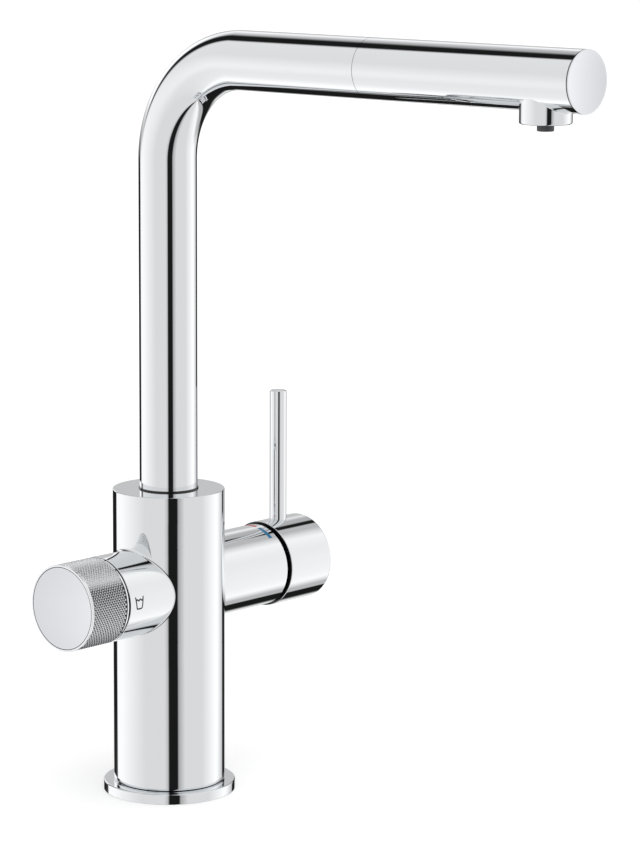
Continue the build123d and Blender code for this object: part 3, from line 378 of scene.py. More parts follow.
def turned_metal(name, light, dark, groove, roughness_low, roughness_high):
    """Turned metal: the tool's fine marks vary its colour and its gloss, and break up what it mirrors."""
    material, tree, output = new_material(name)
    place = add(tree, "ShaderNodeTexCoord").outputs["Object"]
    marks = add(tree, "ShaderNodeTexNoise", Vector=place, Scale=1 / groove, Detail=4.0, Roughness=0.55)
    tint = add(tree, "ShaderNodeMix", {"data_type": "RGBA"}, Factor=marks.outputs["Fac"])
    tint.inputs["A"].default_value = linear(dark)
    tint.inputs["B"].default_value = linear(light)
    gloss = add(
        tree, "ShaderNodeMapRange", Value=marks.outputs["Fac"], To_Min=roughness_low, To_Max=roughness_high
    )
    bump = add(tree, "ShaderNodeBump", Height=marks.outputs["Fac"], Strength=0.2, Distance=0.02 * MM)
    shader = add(
        tree,
        "ShaderNodeBsdfPrincipled",
        Base_Color=tint.outputs["Result"],
        Metallic=1.0,
        Roughness=gloss.outputs["Result"],
        Normal=bump.outputs["Normal"],
    )
    tree.links.new(shader.outputs["BSDF"], output.inputs["Surface"])
    return material


def moulded(name, light, dark, grain, roughness_low, roughness_high, ior):
    """Moulded plastic, rubber or fired ceramic: faint clouding, and the fine grain of its surface."""
    material, tree, output = new_material(name)
    place = add(tree, "ShaderNodeTexCoord").outputs["Object"]
    cloud = add(tree, "ShaderNodeTexNoise", Vector=place, Scale=0.1 / grain, Detail=2.0, Roughness=0.5)
    texture = add(tree, "ShaderNodeTexNoise", Vector=place, Scale=1 / grain, Detail=2.0, Roughness=0.6)
    tint = add(tree, "ShaderNodeMix", {"data_type": "RGBA"}, Factor=cloud.outputs["Fac"])
    tint.inputs["A"].default_value = linear(dark)
    tint.inputs["B"].default_value = linear(light)
    gloss = add(
        tree, "ShaderNodeMapRange", Value=texture.outputs["Fac"], To_Min=roughness_low, To_Max=roughness_high
    )
    bump = add(tree, "ShaderNodeBump", Height=texture.outputs["Fac"], Strength=0.25, Distance=0.03 * MM)
    shader = add(
        tree,
        "ShaderNodeBsdfPrincipled",
        Base_Color=tint.outputs["Result"],
        Roughness=gloss.outputs["Result"],
        IOR=ior,
        Normal=bump.outputs["Normal"],
    )
    tree.links.new(shader.outputs["BSDF"], output.inputs["Surface"])
    return material


FINISHES = {
    # Plated over polished brass: a bright mirror, faintly cool
    "chromed_brass": plating("polished_chrome_plating", "#ECEEF0", 9 * MM, 0.012, 0.035),
    # Bare off the lathe: warm yellow with a soft shine
    "raw_brass": turned_metal("turned_brass", "#D9BC6E", "#B8944A", 0.5 * MM, 0.18, 0.34),
    # Turned and left bright: a plain cool grey
    "stainless_steel": turned_metal("turned_stainless_steel", "#C4C6C7", "#A3A6A8", 0.4 * MM, 0.22, 0.38),
    # Fired, then lapped flat: dense warm white with a fine sheen
    "alumina_ceramic": moulded("lapped_alumina_ceramic", "#F1F0EC", "#E6E4DE", 0.3 * MM, 0.16, 0.24, 1.76),
    # Pressed in a rough mould: dull black
    "seal_rubber": moulded("moulded_nitrile_rubber", "#1D1D1E", "#141415", 0.25 * MM, 0.55, 0.72, 1.52),
    # Moulded in a polished mould: deep black that shines. The chrome pieces also wear it as painted shade in
    # their socket, hollow, gaps and seam
    "black_plastic": moulded("moulded_gloss_abs_and_painted_shade", "#111112", "#0B0B0C", 0.3 * MM, 0.16, 0.26, 1.54),
    # Moulded in its natural colour: milky white with a waxy look
    "acetal_plastic": moulded("moulded_acetal", "#E9E7E1", "#DEDCD5", 0.3 * MM, 0.34, 0.46, 1.48),
    # The same with grey pigment
    "grey_plastic": moulded("moulded_grey_acetal", "#9B9D9F", "#8C8E90", 0.3 * MM, 0.36, 0.48, 1.48),
    # The same with dark pigment
    "dark_plastic": moulded("moulded_dark_acetal", "#47484A", "#3B3C3E", 0.3 * MM, 0.34, 0.46, 1.48),
}
KNURL_FINISH = knurled_chrome()
# Plated over a faced end: the cutter's fine rings scatter a little light, so it mirrors greyer
FACE_FINISH = plating("faced_chrome_plating", "#DDDFE2", 6 * MM, 0.03, 0.06)
# The mirror burnt matt by a laser: dark grey
SIGN_FINISH = moulded("laser_marked_chrome", "#2E3134", "#222528", 0.12 * MM, 0.42, 0.6, 1.5)
# Pad-printed ink: even colour with a satin skin
HOT_FINISH = moulded("red_pad_print", "#C2353C", "#B82C34", 0.2 * MM, 0.3, 0.42, 1.5)
COLD_FINISH = moulded("blue_pad_print", "#126C98", "#0B608C", 0.2 * MM, 0.3, 0.42, 1.5)


# Ways of making a piece


def finish_piece(bm, name, body, slot, replaced=None, place=UPRIGHT, finish=None):
    """Makes a bmesh in millimetres a named piece that rides on a body, smooth apart from its sharp edges."""
    bmesh.ops.transform(bm, matrix=Matrix.Scale(MM, 4) @ place, verts=bm.verts)
    for face in bm.faces:
        face.smooth = True
    for edge in bm.edges:
        edge.smooth = len(edge.link_faces) == 2 and edge.calc_face_angle() < SHARP_ANGLE
    mesh = bpy.data.meshes.new(name)
    bm.to_mesh(mesh)
    bm.free()
    piece = bpy.data.objects.new(name, mesh)
    bpy.context.scene.collection.objects.link(piece)
    mesh.materials.append(finish or FINISHES[slot])
    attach(piece, body)
    if replaced:
        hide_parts(replaced)
    return piece


def true_edges(piece, weight=FLAT_WEIGHT):
    """Keeps large faces flat or round right up to their rounded rims."""
    weighted = piece.modifiers.new("true_edges", "WEIGHTED_NORMAL")
    weighted.keep_sharp = True
    weighted.weight = weight


def walled(piece, thickness):
    """Gives an open skin its wall, inwards."""
    wall = piece.modifiers.new("wall", "SOLIDIFY")
    wall.thickness = thickness * MM
    wall.offset = -1
    wall.use_even_offset = True
    return piece


def spun(profile, steps=TURN_STEPS):
    """A closed round piece about Z from (radius, height) points, which close on themselves or on the axis."""
    bm = bmesh.new()
    corners = [bm.verts.new((radius, 0, height)) for radius, height in profile]
    followers = corners[1:] if profile[0][0] == 0 else corners[1:] + corners[:1]
    sides = [bm.edges.new(pair) for pair in zip(corners, followers)]
    bmesh.ops.spin(
        bm, geom=corners + sides, cent=(0, 0, 0), axis=(0, 0, 1), angle=math.tau, steps=steps, use_merge=True
    )
    bmesh.ops.remove_doubles(bm, verts=bm.verts, dist=WELD)
    bmesh.ops.recalc_face_normals(bm, faces=bm.faces)
    return bm


def dish(radius, rim, depth):
    """Points of a shallow dish, from its rim in to its centre."""
    shares = [i / DISH_RINGS for i in range(DISH_RINGS, -1, -1)]
    return [(radius * share, rim - depth * (1 - share**2)) for share in shares]


def on_circle(vert, radius, height):
    """Whether a vertex lies on a circle about Z."""
    return abs(vert.co.xy.length - radius) < WELD and abs(vert.co.z - height) < WELD


def round_rim(bm, radius, height, size):
    """Rounds the sharp circle about Z of that radius and height."""
    rim = [e for e in bm.edges if all(on_circle(v, radius, height) for v in e.verts)]
    bmesh.ops.bevel(
        bm,
        geom=rim,
        offset=size,
        segments=RIM_SEGMENTS,
        profile=0.5,
        affect="EDGES",
        material=-1,
        clamp_overlap=False,
    )


def grow(bm, rim):
    """Extrudes the open edges of a skin: the new edges and the new vertices."""
    made = bmesh.ops.extrude_edge_only(bm, edges=rim)["geom"]
    edges = [g for g in made if isinstance(g, bmesh.types.BMEdge)]
    return edges, [g for g in made if isinstance(g, bmesh.types.BMVert)]


def branch(bm, column, arm, stations, fillet, half_length):
    """Half a round column about Z with a round arm along +X, as an open skin.

    The arm starts with stations, (distance out, radius) pairs from its inside to its mouth and back along
    its outside. A fillet joins it to the column, whose skin then spreads to a half cylinder.
    """
    turn = bm.verts.layers.float.get("turn") or bm.verts.layers.float.new("turn")
    first = bmesh.ops.create_circle(bm, segments=PATCH_STEPS, radius=1)["verts"]
    for vert in first:
        vert[turn] = math.atan2(vert.co.x, vert.co.y)
    rim = list(dict.fromkeys(e for v in first for e in v.link_edges))

    def on_station(angle, station):
        """A point of the arm's own rings."""
        out, radius = station
        return Vector((out, radius * math.sin(angle), radius * math.cos(angle)))

    def fillet_centre(angle):
        """Where the ball that rolls in the corner has its centre."""
        side = (arm + fillet) * math.sin(angle)
        out = math.sqrt((column + fillet) ** 2 - side**2)
        return Vector((out, side, (arm + fillet) * math.cos(angle)))

    def on_fillet(angle, share):
        """A point of the fillet: share 0 touches the arm and share 1 touches the column."""
        centre = fillet_centre(angle)
        to_arm = Vector((0, -math.sin(angle), -math.cos(angle)))
        to_column = -Vector((centre.x, centre.y, 0)).normalized()
        return centre + fillet * to_arm.slerp(to_column, share)

    def on_column(angle, share):
        """A point of the column's skin: share 0 lies on the fillet's edge and share 1 on the half's border.

        The border, unrolled, is an oblong, whose sides the circle's points reach an eighth turn at a time.
        """
        inner = on_fillet(angle, 1)
        across = math.asin(math.sin(angle)) / (math.pi / 4)
        upwards = math.asin(math.cos(angle)) / (math.pi / 4)
        border_turn = math.pi / 2 * max(-1, min(1, across))
        border_rise = half_length * max(-1, min(1, upwards))
        inner_turn = math.atan2(inner.y, inner.x)
        heading = inner_turn + (border_turn - inner_turn) * share
        rise = inner.z + (border_rise - inner.z) * share
        return Vector((column * math.cos(heading), column * math.sin(heading), rise))

    rings = [(on_station, station) for station in stations]
    rings += [(on_fillet, i / FILLET_STEPS) for i in range(FILLET_STEPS + 1)]
    rings += [(on_column, (i / PATCH_RINGS) ** PATCH_SPREAD) for i in range(1, PATCH_RINGS + 1)]
    made = list(first)
    moved = first
    for number, (skin, along) in enumerate(rings):
        if number:
            rim, moved = grow(bm, rim)
            made += moved
        for vert in moved:
            vert.co = skin(vert[turn], along)
    return made


def refinish(bm, index, test):
    """Gives the material of that number to the faces whose corners all pass a test."""
    for face in bm.faces:
        if all(test(vert) for vert in face.verts):
            face.material_index = index


def open_rim(bm, test):
    """The open edges of a skin whose two ends both pass a test."""
    return [e for e in bm.edges if e.is_boundary and all(test(v) for v in e.verts)]


def lead(bm, rim, places):
    """Extrudes an open circle about Z through a list of (radius, height) places."""
    for radius, height in places:
        rim, moved = grow(bm, rim)
        for vert in moved:
            direction = vert.co.xy.normalized()
            vert.co = (direction.x * radius, direction.y * radius, height)
    return rim


# The body and what stands on the worktop


def body_skin():
    """The body's polished skin: an upright column with the mixer sleeve and the filter sleeve.

    The spout's socket and the lowest part of the foot's round lie in shade and are painted black as shade,
    with the black plastic's finish.
    """
    bm = bmesh.new()
    mixer_reach = BODY_HIGH.x
    filter_reach = -BODY_LOW.x
    spigot_bore = COVER_SPIGOT_RADIUS + COVER_SPIGOT_ROOM
    mixer = [
        (mixer_reach - COVER_SEAT - COVER_SPIGOT - MIXER_MOUTH_BEYOND, spigot_bore),
        (mixer_reach - COVER_SEAT, spigot_bore),
        (mixer_reach - COVER_SEAT, COVER_RADIUS + COVER_ROOM),
        (mixer_reach, COVER_RADIUS + COVER_ROOM),
        (mixer_reach, MIXER_SLEEVE_RADIUS - SLEEVE_EDGE),
        (mixer_reach - SLEEVE_EDGE, MIXER_SLEEVE_RADIUS),
    ]
    filter_side = [
        (filter_reach - FILTER_MOUTH_DEPTH, FILTER_MOUTH_RADIUS),
        (filter_reach, FILTER_MOUTH_RADIUS),
        (filter_reach, KNOB_RADIUS - SLEEVE_EDGE),
        (filter_reach - SLEEVE_EDGE, KNOB_RADIUS),
    ]
    made = branch(bm, BODY_RADIUS, KNOB_RADIUS, filter_side, SLEEVE_FILLET, BODY_PATCH_HALF)
    bmesh.ops.rotate(bm, verts=made, cent=(0, 0, 0), matrix=Matrix.Rotation(math.pi, 3, "Z"))
    branch(bm, BODY_RADIUS, MIXER_SLEEVE_RADIUS, mixer, SLEEVE_FILLET, BODY_PATCH_HALF)
    bmesh.ops.remove_doubles(bm, verts=bm.verts, dist=WELD)
    low = BODY_FOOT - SIDE_AXIS_HEIGHT
    high = BODY_TOP - SIDE_AXIS_HEIGHT
    upper = open_rim(bm, lambda v: on_circle(v, BODY_RADIUS, BODY_PATCH_HALF))
    lower = open_rim(bm, lambda v: on_circle(v, BODY_RADIUS, -BODY_PATCH_HALF))
    lead(
        bm,
        upper,
        [(BODY_RADIUS, high), (SPOUT_SOCKET_RADIUS, high), (SPOUT_SOCKET_RADIUS, high - SPOUT_SOCKET_SHOWN)],
    )
    lead(bm, lower, [(BODY_RADIUS, low), (CAVITY_RADIUS, low), (CAVITY_RADIUS, low + CAVITY_SHOWN)])
    bmesh.ops.recalc_face_normals(bm, faces=bm.faces)
    round_rim(bm, BODY_RADIUS, high, BODY_TOP_EDGE)
    round_rim(bm, BODY_RADIUS, low, BODY_FOOT_EDGE)
    # Painted shade: the socket's inside and the foot's lowest round take the black finish
    refinish(bm, 1, lambda v: v.co.xy.length < SPOUT_SOCKET_RADIUS + WELD)
    refinish(bm, 1, lambda v: v.co.z < low + BODY_FOOT_SHADE + WELD)
    place = Matrix.Translation((0, 0, SIDE_AXIS_HEIGHT))
    piece = finish_piece(bm, "body_skin", "tap_body", "chromed_brass", "body_shell", place)
    # The black plastic's finish stands here for painted shade on the chrome
    piece.data.materials.append(FINISHES["black_plastic"])
    true_edges(walled(piece, SKIN), EVEN_WEIGHT)


def slide_ring():
    """Black plastic lip round the spout's foot, which keeps the turning spout off the body."""
    low = BODY_TOP - SPOUT_SOCKET_SHOWN
    high = BODY_TOP + SLIDE_RING_SHOWN
    bm = spun(
        [(SLIDE_RING_BORE, low), (SLIDE_RING_RADIUS, low), (SLIDE_RING_RADIUS, high), (SLIDE_RING_BORE, high)]
    )
    round_rim(bm, SLIDE_RING_RADIUS, high, SLIDE_RING_EDGE)
    true_edges(finish_piece(bm, "slide_ring", "tap_body", "black_plastic"))


def base_plate():
    """The polished ring under the body, grooved below for its gasket."""
    bm = spun(
        [
            (BASE_BORE, 0),
            (GASKET_GROOVE_INNER, 0),
            (GASKET_GROOVE_INNER, GASKET_GROOVE_DEPTH),
            (GASKET_GROOVE_OUTER, GASKET_GROOVE_DEPTH),
            (GASKET_GROOVE_OUTER, 0),
            (BASE_RADIUS, 0),
            (BASE_RADIUS, BASE_HIGH.z),
            (BASE_BORE, BASE_HIGH.z),
        ]
    )
    round_rim(bm, BASE_RADIUS, BASE_HIGH.z, BASE_TOP_EDGE)
    round_rim(bm, BASE_RADIUS, 0, BASE_FOOT_EDGE)
    true_edges(finish_piece(bm, "base_plate", "tap_body", "chromed_brass", "base_ring"))


def threaded_shank():
    """Hollow brass shank below the body. Its thread is close rings, because its slope wouldn't show."""
    low = SHANK_LOW.z
    start = low + SHANK_LEAD_IN
    turns = round((THREAD_TOP - start) / THREAD_PITCH)
    thread = []
    for turn in range(turns):
        crest = start + turn * THREAD_PITCH
        thread += [(SHANK_RADIUS, crest), (SHANK_RADIUS - THREAD_DEPTH, crest + THREAD_PITCH / 2)]
    bm = spun(
        [
            (SHANK_BORE, low),
            (SHANK_RADIUS - SHANK_LEAD_IN, low),
            *thread,
            (SHANK_RADIUS, start + turns * THREAD_PITCH),
            (SHANK_RADIUS, BASE_HIGH.z),
            (SHANK_HEAD_RADIUS, BASE_HIGH.z),
            (SHANK_HEAD_RADIUS, SHANK_HIGH.z),
            (SHANK_BORE, SHANK_HIGH.z),
        ],
        SLIM_TURN_STEPS,
    )
    true_edges(finish_piece(bm, "threaded_shank", "tap_body", "raw_brass", "mounting_shank"))


# The mixer's outside


def black_ring():
    """Black ring in the mixer sleeve's mouth, which shows as a dark band behind the handle."""
    reach = COVER_HIGH.x
    seat = BODY_HIGH.x - COVER_SEAT
    bm = spun(
        [
            (COVER_BORE, seat - COVER_SPIGOT),
            (COVER_SPIGOT_RADIUS, seat - COVER_SPIGOT),
            (COVER_SPIGOT_RADIUS, seat),
            (COVER_RADIUS, seat),
            (COVER_RADIUS, reach),
            (COVER_BORE, reach),
        ]
    )
    round_rim(bm, COVER_RADIUS, reach, COVER_EDGE)
    true_edges(finish_piece(bm, "black_ring", "tap_body", "black_plastic", "cover_ring", MIXER_SIDE))


def handle():
    """Handle: a thick polished cup with a rounded end, painted black as shade in its hollow and on its rear
    rim.
    """
    start = CAP_LOW.x
    end = CAP_HIGH.x
    hollow_end = start + CAP_HOLLOW
    bm = spun(
        [
            (0, hollow_end + CAP_SOCKET_DEPTH),
            (CAP_SOCKET_RADIUS, hollow_end + CAP_SOCKET_DEPTH),
            (CAP_SOCKET_RADIUS, hollow_end),
            (CAP_HOLLOW_RADIUS, hollow_end),
            (CAP_HOLLOW_RADIUS, start),
            (CAP_RADIUS, start),
            (CAP_RADIUS, end),
            (0, end),
        ]
    )
    round_rim(bm, CAP_RADIUS, end, CAP_END_EDGE)
    round_rim(bm, CAP_RADIUS, start, CAP_REAR_EDGE)
    # Painted shade: the hollow and the rear rim turned towards the sleeve take the black finish
    for face in bm.faces:
        inside = max(vert.co.xy.length for vert in face.verts) < CAP_PAINTED_SHADE_RADIUS
        face.material_index = int(inside or face.normal.z < CAP_REAR_FACING)
    piece = finish_piece(bm, "handle_cup", "mixer_handle", "chromed_brass", "handle_cap", MIXER_SIDE)
    # The black plastic's finish stands here for painted shade on the chrome
    piece.data.materials.append(FINISHES["black_plastic"])
    true_edges(piece)


def lever():
    """Round lever rod, standing in the top of the handle."""
    foot = SIDE_AXIS_HEIGHT + CAP_RADIUS - LEVER_SUNK
    top = LEVER_HIGH.z
    bm = spun([(0, foot), (LEVER_RADIUS, foot), (LEVER_RADIUS, top), (0, top)], SLIM_TURN_STEPS)
    round_rim(bm, LEVER_RADIUS, top, LEVER_EDGE)
    place = Matrix.Translation((LEVER_OUT, 0, 0))
    true_edges(finish_piece(bm, "lever_rod", "mixer_handle", "chromed_brass", "handle_lever", place))


# The filter knob


def knurled_knob():
    """Knob shell with a diamond knurl: two crossing sets of grooves leave rows of blunt pyramids.

    The neck behind the grip and the gap round the end's disc are painted black as shade.
    """
    band_low = KNOB_START + KNOB_NECK + KNOB_RIM
    band_high = KNOB_END - KNOB_RIM
    rows = 2 * round((band_high - band_low) / KNURL_LENGTH)
    columns = 2 * round(math.tau * KNOB_RADIUS / KNURL_WIDTH)
    row_step = (band_high - band_low) / rows
    valley = KNOB_RADIUS - KNURL_DEPTH
    web = FACE_START - KNOB_WEB
    bm = spun(
        [
            (KNOB_BORE, web),
            (KNOB_BORE, KNOB_START),
            (KNOB_RADIUS - KNOB_NECK_DEPTH, KNOB_START),
            (KNOB_RADIUS - KNOB_NECK_DEPTH, KNOB_START + KNOB_NECK),
            (KNOB_RADIUS, KNOB_START + KNOB_NECK),
            (KNOB_RADIUS, band_low),
            *[(valley, band_low + row * row_step) for row in range(rows + 1)],
            (KNOB_RADIUS, band_high),
            (KNOB_RADIUS, KNOB_END),
            (KNOB_RECESS_RADIUS, KNOB_END),
            (KNOB_RECESS_RADIUS, FACE_START),
            (KNOB_SCREW_RECESS_RADIUS, FACE_START),
            (KNOB_SCREW_RECESS_RADIUS, FACE_START - KNOB_SCREW_RECESS),
            (KNOB_SCREW_BORE, FACE_START - KNOB_SCREW_RECESS),
            (KNOB_SCREW_BORE, web),
        ],
        columns,
    )

    def in_groove(vert):
        """Whether a vertex lies as deep as the grooves."""
        return abs(vert.co.xy.length - valley) < WELD

    refinish(bm, 1, in_groove)
    peaks = []
    for vert in [v for v in bm.verts if in_groove(v)]:
        row = round((vert.co.z - band_low) / row_step)
        column = round(math.atan2(vert.co.y, vert.co.x) / math.tau * columns)
        if (row + column) % 2 and 0 < row < rows:
            vert.co.xy *= (KNOB_RADIUS + KNURL_CUT) / valley
            peaks.append(vert)
    for face in [f for f in bm.faces if f.material_index]:
        diagonal = [v for v in face.verts if in_groove(v)]
        if len(diagonal) == 2:
            bmesh.utils.face_split(face, *diagonal)
    bmesh.ops.bevel(
        bm,
        geom=peaks,
        offset=KNURL_LENGTH / 2 * KNURL_CUT / (KNURL_DEPTH + KNURL_CUT),
        segments=1,
        profile=0.5,
        affect="VERTICES",
        material=-1,
    )
    round_rim(bm, KNOB_RADIUS, KNOB_START + KNOB_NECK, KNOB_EDGE)
    round_rim(bm, KNOB_RADIUS, KNOB_END, KNOB_EDGE)
    neck = KNOB_START + KNOB_NECK + WELD
    inside_edge = KNOB_RADIUS - KNOB_EDGE
    recess = KNOB_RECESS_RADIUS + WELD
    # Painted shade: the neck and the gap round the end's disc take the black finish
    refinish(bm, 2, lambda v: v.co.z < neck and v.co.xy.length < inside_edge)
    refinish(bm, 2, lambda v: v.co.z > FACE_START - WELD and v.co.xy.length < recess)
    piece = finish_piece(bm, "knurled_knob", "filter_control", "chromed_brass", "filter_knob", FILTER_SIDE)
    piece.data.materials.append(KNURL_FINISH)
    # The black plastic's finish stands here for painted shade on the chrome
    piece.data.materials.append(FINISHES["black_plastic"])
    true_edges(piece)


def knob_disc():
    """Polished disc pressed into the knob's end, very slightly dished, a hair's breadth inside its rim."""
    bm = spun([(0, FACE_START), (FACE_RADIUS, FACE_START), *dish(FACE_RADIUS, KNOB_END, FACE_DISH)])
    round_rim(bm, FACE_RADIUS, KNOB_END, FACE_EDGE)
    piece = finish_piece(
        bm, "knob_disc", "filter_control", "chromed_brass", "knob_face", FILTER_SIDE, FACE_FINISH
    )
    true_edges(piece, EVEN_WEIGHT)


# What is printed on the two sleeves


def printed(name, strokes, width, radius, finish):
    """Thin strokes that hug a sleeve, each through (place along X, distance round it) points."""
    bm = bmesh.new()
    for points in strokes:
        pen = bpy.data.curves.new(name, "CURVE")
        pen.dimensions = "3D"
        pen.bevel_depth = width / 2
        pen.bevel_resolution = 2
        pen.use_fill_caps = True
        route = [Vector((*points[0], 0))]
        for end in (Vector((*point, 0)) for point in points[1:]):
            start = route[-1]
            pieces = math.ceil((end - start).length / PRINT_STEP)
            route += [start.lerp(end, (i + 1) / pieces) for i in range(pieces)]
        line = pen.splines.new("POLY")
        line.points.add(len(route) - 1)
        for point, place in zip(line.points, route):
            point.co = (*place, 1)
        holder = bpy.data.objects.new(name, pen)
        drawn = bpy.data.meshes.new_from_object(holder)
        bm.from_mesh(drawn)
        bpy.data.objects.remove(holder)
        bpy.data.curves.remove(pen)
        bpy.data.meshes.remove(drawn)
    for vert in bm.verts:
        around = vert.co.y / radius
        out = radius + PRINT_HEIGHT * vert.co.z / (width / 2)
        vert.co = (vert.co.x, -out * math.cos(around), SIDE_AXIS_HEIGHT + out * math.sin(around))
    bmesh.ops.recalc_face_normals(bm, faces=bm.faces)
    finish_piece(bm, name, "tap_body", "dark_plastic", finish=finish)


def tumbler_sign():
    """Small drinking tumbler with a wave in it, which says that the knob is for filtered water."""
    corner = [math.pi / 2 * i / SIGN_STEPS for i in range(SIGN_STEPS + 1)]
    right = [
        (SIGN_TOP / 2, SIGN_HEIGHT / 2),
        *[
            (
                SIGN_FOOT / 2 - SIGN_CORNER * (1 - math.cos(turn)),
                SIGN_CORNER * (1 - math.sin(turn)) - SIGN_HEIGHT / 2,
            )
            for turn in corner
        ],
    ]
    outline = right + [(-out, up) for out, up in reversed(right)]
    half_wave = (SIGN_TOP + SIGN_FOOT) / 4
    wave = []
    for i in range(4 * SIGN_STEPS + 1):
        share = i / (2 * SIGN_STEPS) - 1
        wave.append((half_wave * share, SIGN_LEVEL + SIGN_WAVE * math.sin(math.tau * share)))
    strokes = [[(SIGN_PLACE[0] + out, SIGN_PLACE[1] + up) for out, up in line] for line in (outline, wave)]
    printed("tumbler_sign", strokes, SIGN_STROKE, KNOB_RADIUS, SIGN_FINISH)


def temperature_marks():
    """Red and blue marks round the mixer sleeve: which way the lever turns for hot and for cold."""
    for name, angles, finish in (("hot_mark", HOT_ARC, HOT_FINISH), ("cold_mark", COLD_ARC, COLD_FINISH)):
        low, high = (math.radians(angle) * MIXER_SLEEVE_RADIUS for angle in angles)
        arc = [(MARK_PLACE, low + (high - low) * i / MARK_STEPS) for i in range(MARK_STEPS + 1)]
        printed(name, [arc], MARK_STROKE, MIXER_SLEEVE_RADIUS, finish)


# The spout


def spout():
    """Bent spout tube: up the riser, round the bend and along to the head's seam."""
    bm = bmesh.new()
    bend_start = SPOUT_HEIGHT - BEND_RADIUS
    verts = bmesh.ops.create_circle(bm, segments=TURN_STEPS, radius=TUBE_RADIUS)["verts"]
    bmesh.ops.translate(bm, verts=verts, vec=(0, 0, TUBE_LOW.z))
    rim, moved = grow(bm, bm.edges[:])
    bmesh.ops.translate(bm, verts=moved, vec=(0, 0, bend_start - TUBE_LOW.z))
    turned = bmesh.ops.spin(
        bm,
        geom=moved + rim,
        cent=(0, -BEND_RADIUS, bend_start),
        axis=(1, 0, 0),
        angle=math.pi / 2,
        steps=BEND_STEPS,
    )["geom_last"]
    rim, moved = grow(bm, [g for g in turned if isinstance(g, bmesh.types.BMEdge)])
    bmesh.ops.translate(bm, verts=moved, vec=(0, BEND_RADIUS - SEAM_REACH, 0))
    bmesh.ops.recalc_face_normals(bm, faces=bm.faces)
    piece = finish_piece(bm, "spout_pipe", "spout", "chromed_brass", "spout_tube")
    true_edges(walled(piece, TUBE_WALL))


def head():
    """Pull-out head: a closed tube in line with the spout, with the outlet collar below.

    It is made standing on end, with the collar along +X, its end up and a fine black band below the end, a
    painted shadow of the end cap's seam.
    """
    bm = bmesh.new()
    end = HEAD_END - OUTLET_REACH
    rear = HEAD_REAR - OUTLET_REACH
    half_length = end - HEAD_PATCH_SHORT
    drop = SPOUT_HEIGHT - OUTLET_BOTTOM
    collar = [
        (drop - AERATOR_SEAT, OUTLET_BORE),
        (drop - OUTLET_LIP, OUTLET_BORE),
        (drop, OUTLET_BORE + OUTLET_LIP),
        *[
            (
                drop - OUTLET_EDGE * (1 - math.sin(turn)),
                OUTLET_RADIUS - OUTLET_EDGE * (1 - math.cos(turn)),
            )
            for turn in (math.pi / 2 * (1 - i / OUTLET_EDGE_STEPS) for i in range(OUTLET_EDGE_STEPS + 1))
        ],
    ]
    branch(bm, TUBE_RADIUS, OUTLET_RADIUS, collar, OUTLET_FILLET, half_length)
    sides = open_rim(bm, lambda v: abs(v.co.y - TUBE_RADIUS) < WELD and v.co.x < WELD)
    bmesh.ops.spin(
        bm,
        geom=list(dict.fromkeys(v for e in sides for v in e.verts)) + sides,
        cent=(0, 0, 0),
        axis=(0, 0, 1),
        angle=math.pi,
        steps=PATCH_STEPS // 4,
    )
    bmesh.ops.remove_doubles(bm, verts=bm.verts, dist=WELD)
    dished_end = dish(TUBE_RADIUS, end, HEAD_DISH)
    seam_shadow_high = end - END_CAP_RIM
    seam_shadow_low = seam_shadow_high - END_CAP_SEAM_SHADOW
    # Painted shadow: a flat band just below the end cap's rim, drawn black as the shade in its seam
    seam = [(TUBE_RADIUS, seam_shadow_low), (TUBE_RADIUS, seam_shadow_high)]
    lead(bm, open_rim(bm, lambda v: on_circle(v, TUBE_RADIUS, -half_length)), [(TUBE_RADIUS, rear)])
    front = open_rim(bm, lambda v: on_circle(v, TUBE_RADIUS, half_length))
    rim = lead(bm, front, seam + dished_end[:-1])
    centre = bmesh.ops.contextual_create(bm, geom=rim)["faces"]
    bmesh.ops.poke(bm, faces=centre)
    middle = min(bm.verts, key=lambda vert: (vert.co - Vector((0, 0, end))).length)
    middle.co.z = dished_end[-1][1]
    bmesh.ops.recalc_face_normals(bm, faces=bm.faces)
    round_rim(bm, TUBE_RADIUS, end, HEAD_END_EDGE)
    deepest = end - HEAD_DISH - WELD
    inside_edge = TUBE_RADIUS - HEAD_END_EDGE / 2
    refinish(bm, 1, lambda v: v.co.z > deepest and v.co.xy.length < inside_edge)
    outside = TUBE_RADIUS - WELD
    # The seam's band takes the black finish as painted shadow
    refinish(bm, 2, lambda v: seam_shadow_low - WELD < v.co.z < seam_shadow_high + WELD and v.co.xy.length > outside)
    place = (
        Matrix.Translation((0, -OUTLET_REACH, SPOUT_HEIGHT))
        @ Matrix.Rotation(math.pi / 2, 4, "X")
        @ Matrix.Rotation(-math.pi / 2, 4, "Z")
    )
    piece = finish_piece(bm, "head_skin", "pull_out_head", "chromed_brass", "head_shell", place)
    piece.data.materials.append(FACE_FINISH)
    piece.data.materials.append(FINISHES["black_plastic"])
    true_edges(walled(piece, HEAD_SKIN), EVEN_WEIGHT)


def nozzle():
    """Small dark nozzle for filtered water, in the middle of the outlet."""
    low = NOZZLE_LOW.z
    high = NOZZLE_HIGH.z
    bm = spun(
        [(NOZZLE_BORE, low), (NOZZLE_RADIUS, low), (NOZZLE_RADIUS, high), (NOZZLE_BORE, high)], NOZZLE_STEPS
    )
    round_rim(bm, NOZZLE_RADIUS, low, NOZZLE_EDGE)
    true_edges(
        finish_piece(bm, "nozzle_tip", "pull_out_head", "dark_plastic", "filtered_nozzle", OUTLET_LINE)
    )


